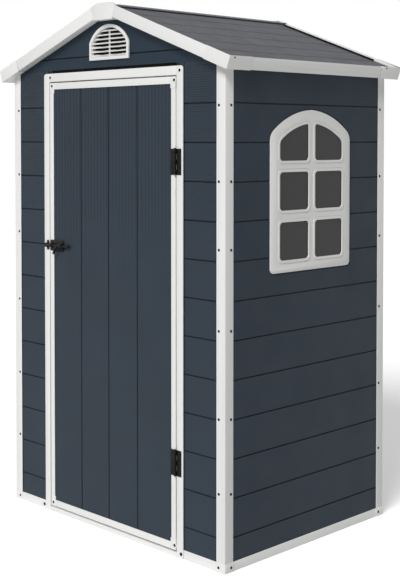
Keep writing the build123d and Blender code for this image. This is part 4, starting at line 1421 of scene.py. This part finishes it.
@dataclass
class Fasteners:
    """Screws with their small moulded bosses, as one mesh for each body and finish."""

    finishes: Finishes
    repeater: Repeater
    head_radius: float = 0.0050
    corner_radius: float = 0.0066
    cap_radius: float = 0.0032
    cap_rise: float = 0.0015
    cap_drop: float = 0.0056
    cap_front: float = -0.4659
    cap_rear: float = 0.3983
    cap_top: float = -0.4882
    cap_top_inset: float = 0.024
    head_height: float = 0.0018
    head_sides: int = 12
    sunk: float = 0.0005
    slot_reach: float = 0.62
    slot_half: float = 0.16
    slot_floor: float = 0.3
    boss_radius: float = 0.010
    boss_height: float = 0.0012
    boss_sides: int = 24
    post_inset: float = 0.030
    post_heights: tuple[float, ...] = (1.628, 1.364, 1.127, 0.845, 0.537, 0.275)
    block_height: float = 0.017
    hinge_offsets: tuple[float, ...] = (-0.034, 0.0, 0.034)
    hinge_span: float = 0.094
    hinge_inset: float = 0.009
    hinge_sheet: float = 0.002
    frame_corners: tuple[tuple[float, float], ...] = ((-0.362, 1.757), (0.388, 1.756))
    low_screws: tuple[tuple[float, float], ...] = ((0.394, 0.017), (-0.415, 0.016))
    door_corners: tuple[tuple[float, float], ...] = (
        (-0.351, 1.723),
        (0.360, 1.722),
        (-0.351, 0.039),
        (0.361, 0.041),
    )

    def dome(self, name: str, radius: float, height: float, sides: int) -> bpy.types.Object:
        """A low round head.

        Args:
            name: the object's name.
            radius: its radius.
            height: how far it stands out.
            sides: how many sides it has.

        Returns:
            The head, facing up Z.
        """
        profile = [(1.0, -self.sunk), (1.0, height * 0.35), (0.8, height * 0.8), (0.45, height)]
        rings = [[(x, y, z) for x, y in circle(0, 0, radius * share, sides)] for share, z in profile]
        return loft(name, [rings])

    def head(self, radius: float) -> bpy.types.Object:
        """A screw head with a cross recess.

        Args:
            radius: the head's radius.

        Returns:
            The head, facing up Z.
        """
        head = self.dome("screw_head", radius, self.head_height, self.head_sides)
        arm = radius * self.slot_reach
        half = radius * self.slot_half
        for degrees in (0, 90):
            bar = plate("slot", [(-arm, -half), (arm, -half), (arm, half), (-arm, half)], -OVERCUT, 0.0)
            bar.data.transform(Matrix.Rotation(math.radians(90), 4, "X"))
            bar.data.transform(Matrix.Translation((0, 0, self.head_height * self.slot_floor)))
            bar.data.transform(Matrix.Rotation(math.radians(degrees), 4, "Z"))
            carve(head, bar)
        return head

    def post_spots(self) -> Spots:
        """Screws up both faces of the four corner posts and on their feet."""
        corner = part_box("post_front_right")
        half_x, half_y = corner[1].x, -corner[0].y
        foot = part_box("base_corner_blocks")
        spots = []
        for sx in (-1, 1):
            for sy in (-1, 1):
                across = Vector((sx * (half_x - self.post_inset), sy * half_y, 0))
                along = Vector((sx * half_x, sy * (half_y - self.post_inset), 0))
                for z in self.post_heights:
                    spots.append((across + Vector((0, 0, z)), Vector((0, sy, 0))))
                    spots.append((along + Vector((0, 0, z)), Vector((sx, 0, 0))))
                low = Vector((across.x, sy * foot[1].y, self.block_height))
                spots.append((low, Vector((0, sy, 0))))
                low = Vector((sx * foot[1].x, along.y, self.block_height))
                spots.append((low, Vector((sx, 0, 0))))
        return spots

    def cap_spots(self) -> Spots:
        """Screws of the roof's corner caps: on the eaves, and on the tops of the front two."""
        slope = Slope()
        outer = slope.edge + self.cap_rise
        spots = []
        for side in (-1, 1):
            for depth in (self.cap_front, self.cap_rear):
                spots.append((slope.place(side, outer, depth, -self.cap_drop), slope.down(side)))
            top = slope.place(side, slope.edge - self.cap_top_inset, self.cap_top, self.cap_rise)
            spots.append((top, slope.up(side)))
        return spots

    def fix(self, body: Body, finish: bpy.types.Material, pattern: bpy.types.Object, **rows: Spots) -> None:
        """Place a pattern on rows of spots, each row as one piece.

        Args:
            body: the body that the rows ride on.
            finish: the finish of all.
            pattern: the head or boss.
            rows: the spots by the piece's name.
        """
        slot = "white_trim" if finish is self.finishes.white else "black_metal"
        for name, spots in rows.items():
            finish_piece(self.repeater.on_points(name, pattern, spots, finish), body, slot, finish)

    def build(self) -> None:
        """Place every screw and boss."""
        screw, steel, white = self.finishes.screw, self.finishes.steel, self.finishes.white
        jamb_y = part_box("door_head")[0].y
        rail_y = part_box("base_rail_front")[0].y
        corners = [(Vector((x, jamb_y, z)), FRONT) for x, z in self.frame_corners]
        door = [(Vector((x, jamb_y, z)), FRONT) for x, z in self.door_corners]
        low = [(Vector((x, y, z)), FRONT) for (x, z), y in zip(self.low_screws, (jamb_y, rail_y))]
        head = self.head(self.head_radius)
        self.fix(Body.SHED, screw, head, post_screws=self.post_spots())
        self.fix(Body.SHED, steel, head, hinge_frame_screws=self.hinge_spots(Body.SHED))
        self.fix(Body.DOOR, steel, head, hinge_door_screws=self.hinge_spots(Body.DOOR))
        discard(head)
        head = self.head(self.corner_radius)
        self.fix(Body.SHED, screw, head, frame_screws=corners + low)
        self.fix(Body.DOOR, screw, head, door_screws=door)
        discard(head)
        head = self.head(self.cap_radius)
        self.fix(Body.SHED, screw, head, cap_screws=self.cap_spots())
        discard(head)
        boss = self.dome("boss", self.boss_radius, self.boss_height, self.boss_sides)
        self.fix(Body.SHED, white, boss, frame_screw_bosses=corners)
        self.fix(Body.DOOR, white, boss, door_screw_bosses=door)
        discard(boss)

    def hinge_spots(self, body: Body) -> Spots:
        """Screws of both hinge leaves on the frame or on the door."""
        low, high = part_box("hinge_frame_plates")
        if body is Body.SHED:
            x = high.x - self.hinge_inset
        else:
            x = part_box("hinge_door_plates")[0].x + self.hinge_inset
        y = high.y - self.hinge_sheet
        middles = (low.z + self.hinge_span / 2, high.z - self.hinge_span / 2)
        return [(Vector((x, y, z + dz)), FRONT) for z in middles for dz in self.hinge_offsets]


@dataclass
class Studio:
    """Camera, soft light, pale floor and white background."""

    camera_place: tuple[float, float, float] = (3.344, -3.300, 1.511)
    camera_yaw: float = 45.14
    camera_pitch: float = 1.8
    focal_pixels: float = 1149.71
    picture_height: float = 580.0
    horizon_row: float = 139.05
    sensor: float = 36.0
    ambient: float = 0.21
    key_strength: float = 2.49
    key_direction: tuple[float, float, float] = (0.2265, -0.7317, 0.643)
    key_angle: float = 24.0
    floor_reach: float = 40.0

    def camera(self) -> None:
        """Make the camera at the photograph's viewing angle."""
        data = bpy.data.cameras.new("camera")
        data.sensor_width = self.sensor
        data.lens = self.focal_pixels / self.picture_height * self.sensor
        pitch = math.radians(self.camera_pitch)
        above = self.picture_height / 2 - self.horizon_row
        data.shift_y = -(above - self.focal_pixels * math.tan(pitch)) / self.picture_height
        data.clip_start = 0.05
        data.clip_end = 200.0
        camera = bpy.data.objects.new("camera", data)
        bpy.context.scene.collection.objects.link(camera)
        camera.location = self.camera_place
        camera.rotation_euler = (math.radians(90) - pitch, 0, math.radians(self.camera_yaw))
        bpy.context.scene.camera = camera

    def lights(self) -> None:
        """Make the key light and the surrounding light."""
        lamp = bpy.data.lights.new("key", "SUN")
        lamp.energy = self.key_strength
        lamp.angle = math.radians(self.key_angle)
        key = bpy.data.objects.new("key", lamp)
        key.rotation_euler = Vector(self.key_direction).to_track_quat("Z", "Y").to_euler()
        bpy.context.scene.collection.objects.link(key)
        world = bpy.data.worlds.new("studio")
        bpy.context.scene.world = world
        world.use_nodes = True
        nodes, links = world.node_tree.nodes, world.node_tree.links
        nodes.clear()
        ambient = nodes.new("ShaderNodeBackground")
        ambient.inputs["Strength"].default_value = self.ambient
        white = nodes.new("ShaderNodeBackground")
        white.inputs["Strength"].default_value = 1.0
        for sky in (ambient, white):
            sky.inputs["Color"].default_value = (1, 1, 1, 1)
        mix = nodes.new("ShaderNodeMixShader")
        out = nodes.new("ShaderNodeOutputWorld")
        links.new(seen_share(world.node_tree), mix.inputs[0])
        links.new(ambient.outputs["Background"], mix.inputs[1])
        links.new(white.outputs["Background"], mix.inputs[2])
        links.new(mix.outputs["Shader"], out.inputs["Surface"])

    def floor(self) -> None:
        """Make the floor."""
        reach = self.floor_reach
        mesh = bpy.data.meshes.new("studio_floor")
        corners = [(-reach, -reach, 0), (reach, -reach, 0), (reach, reach, 0), (-reach, reach, 0)]
        mesh.from_pydata(corners, [], [(0, 1, 2, 3)])
        floor = new_piece("studio_floor", mesh)
        floor.data.materials.append(StudioFloor("studio_floor").material())

    def build(self) -> None:
        """Make the whole studio."""
        bpy.context.scene.view_settings.view_transform = "Standard"
        self.camera()
        self.lights()
        self.floor()


def main() -> None:
    """Build the studio and every sub-assembly in order."""
    logging.basicConfig(level=logging.INFO, format="%(name)s %(message)s")
    Studio().build()
    finishes = Finishes.make()
    repeater = Repeater()
    BoardWalls(finishes, repeater).build()
    DoorBoards(finishes, repeater).build()
    Profiles(finishes).build()
    GableVent(finishes).build()
    ArchedWindow(finishes).build()
    RoofPanels(finishes, repeater).build()
    RearShadeStrips(finishes).build()
    Fasteners(finishes, repeater).build()
    repaint("floor_panel", finishes.floor)


if __name__ == "__main__":
    main()
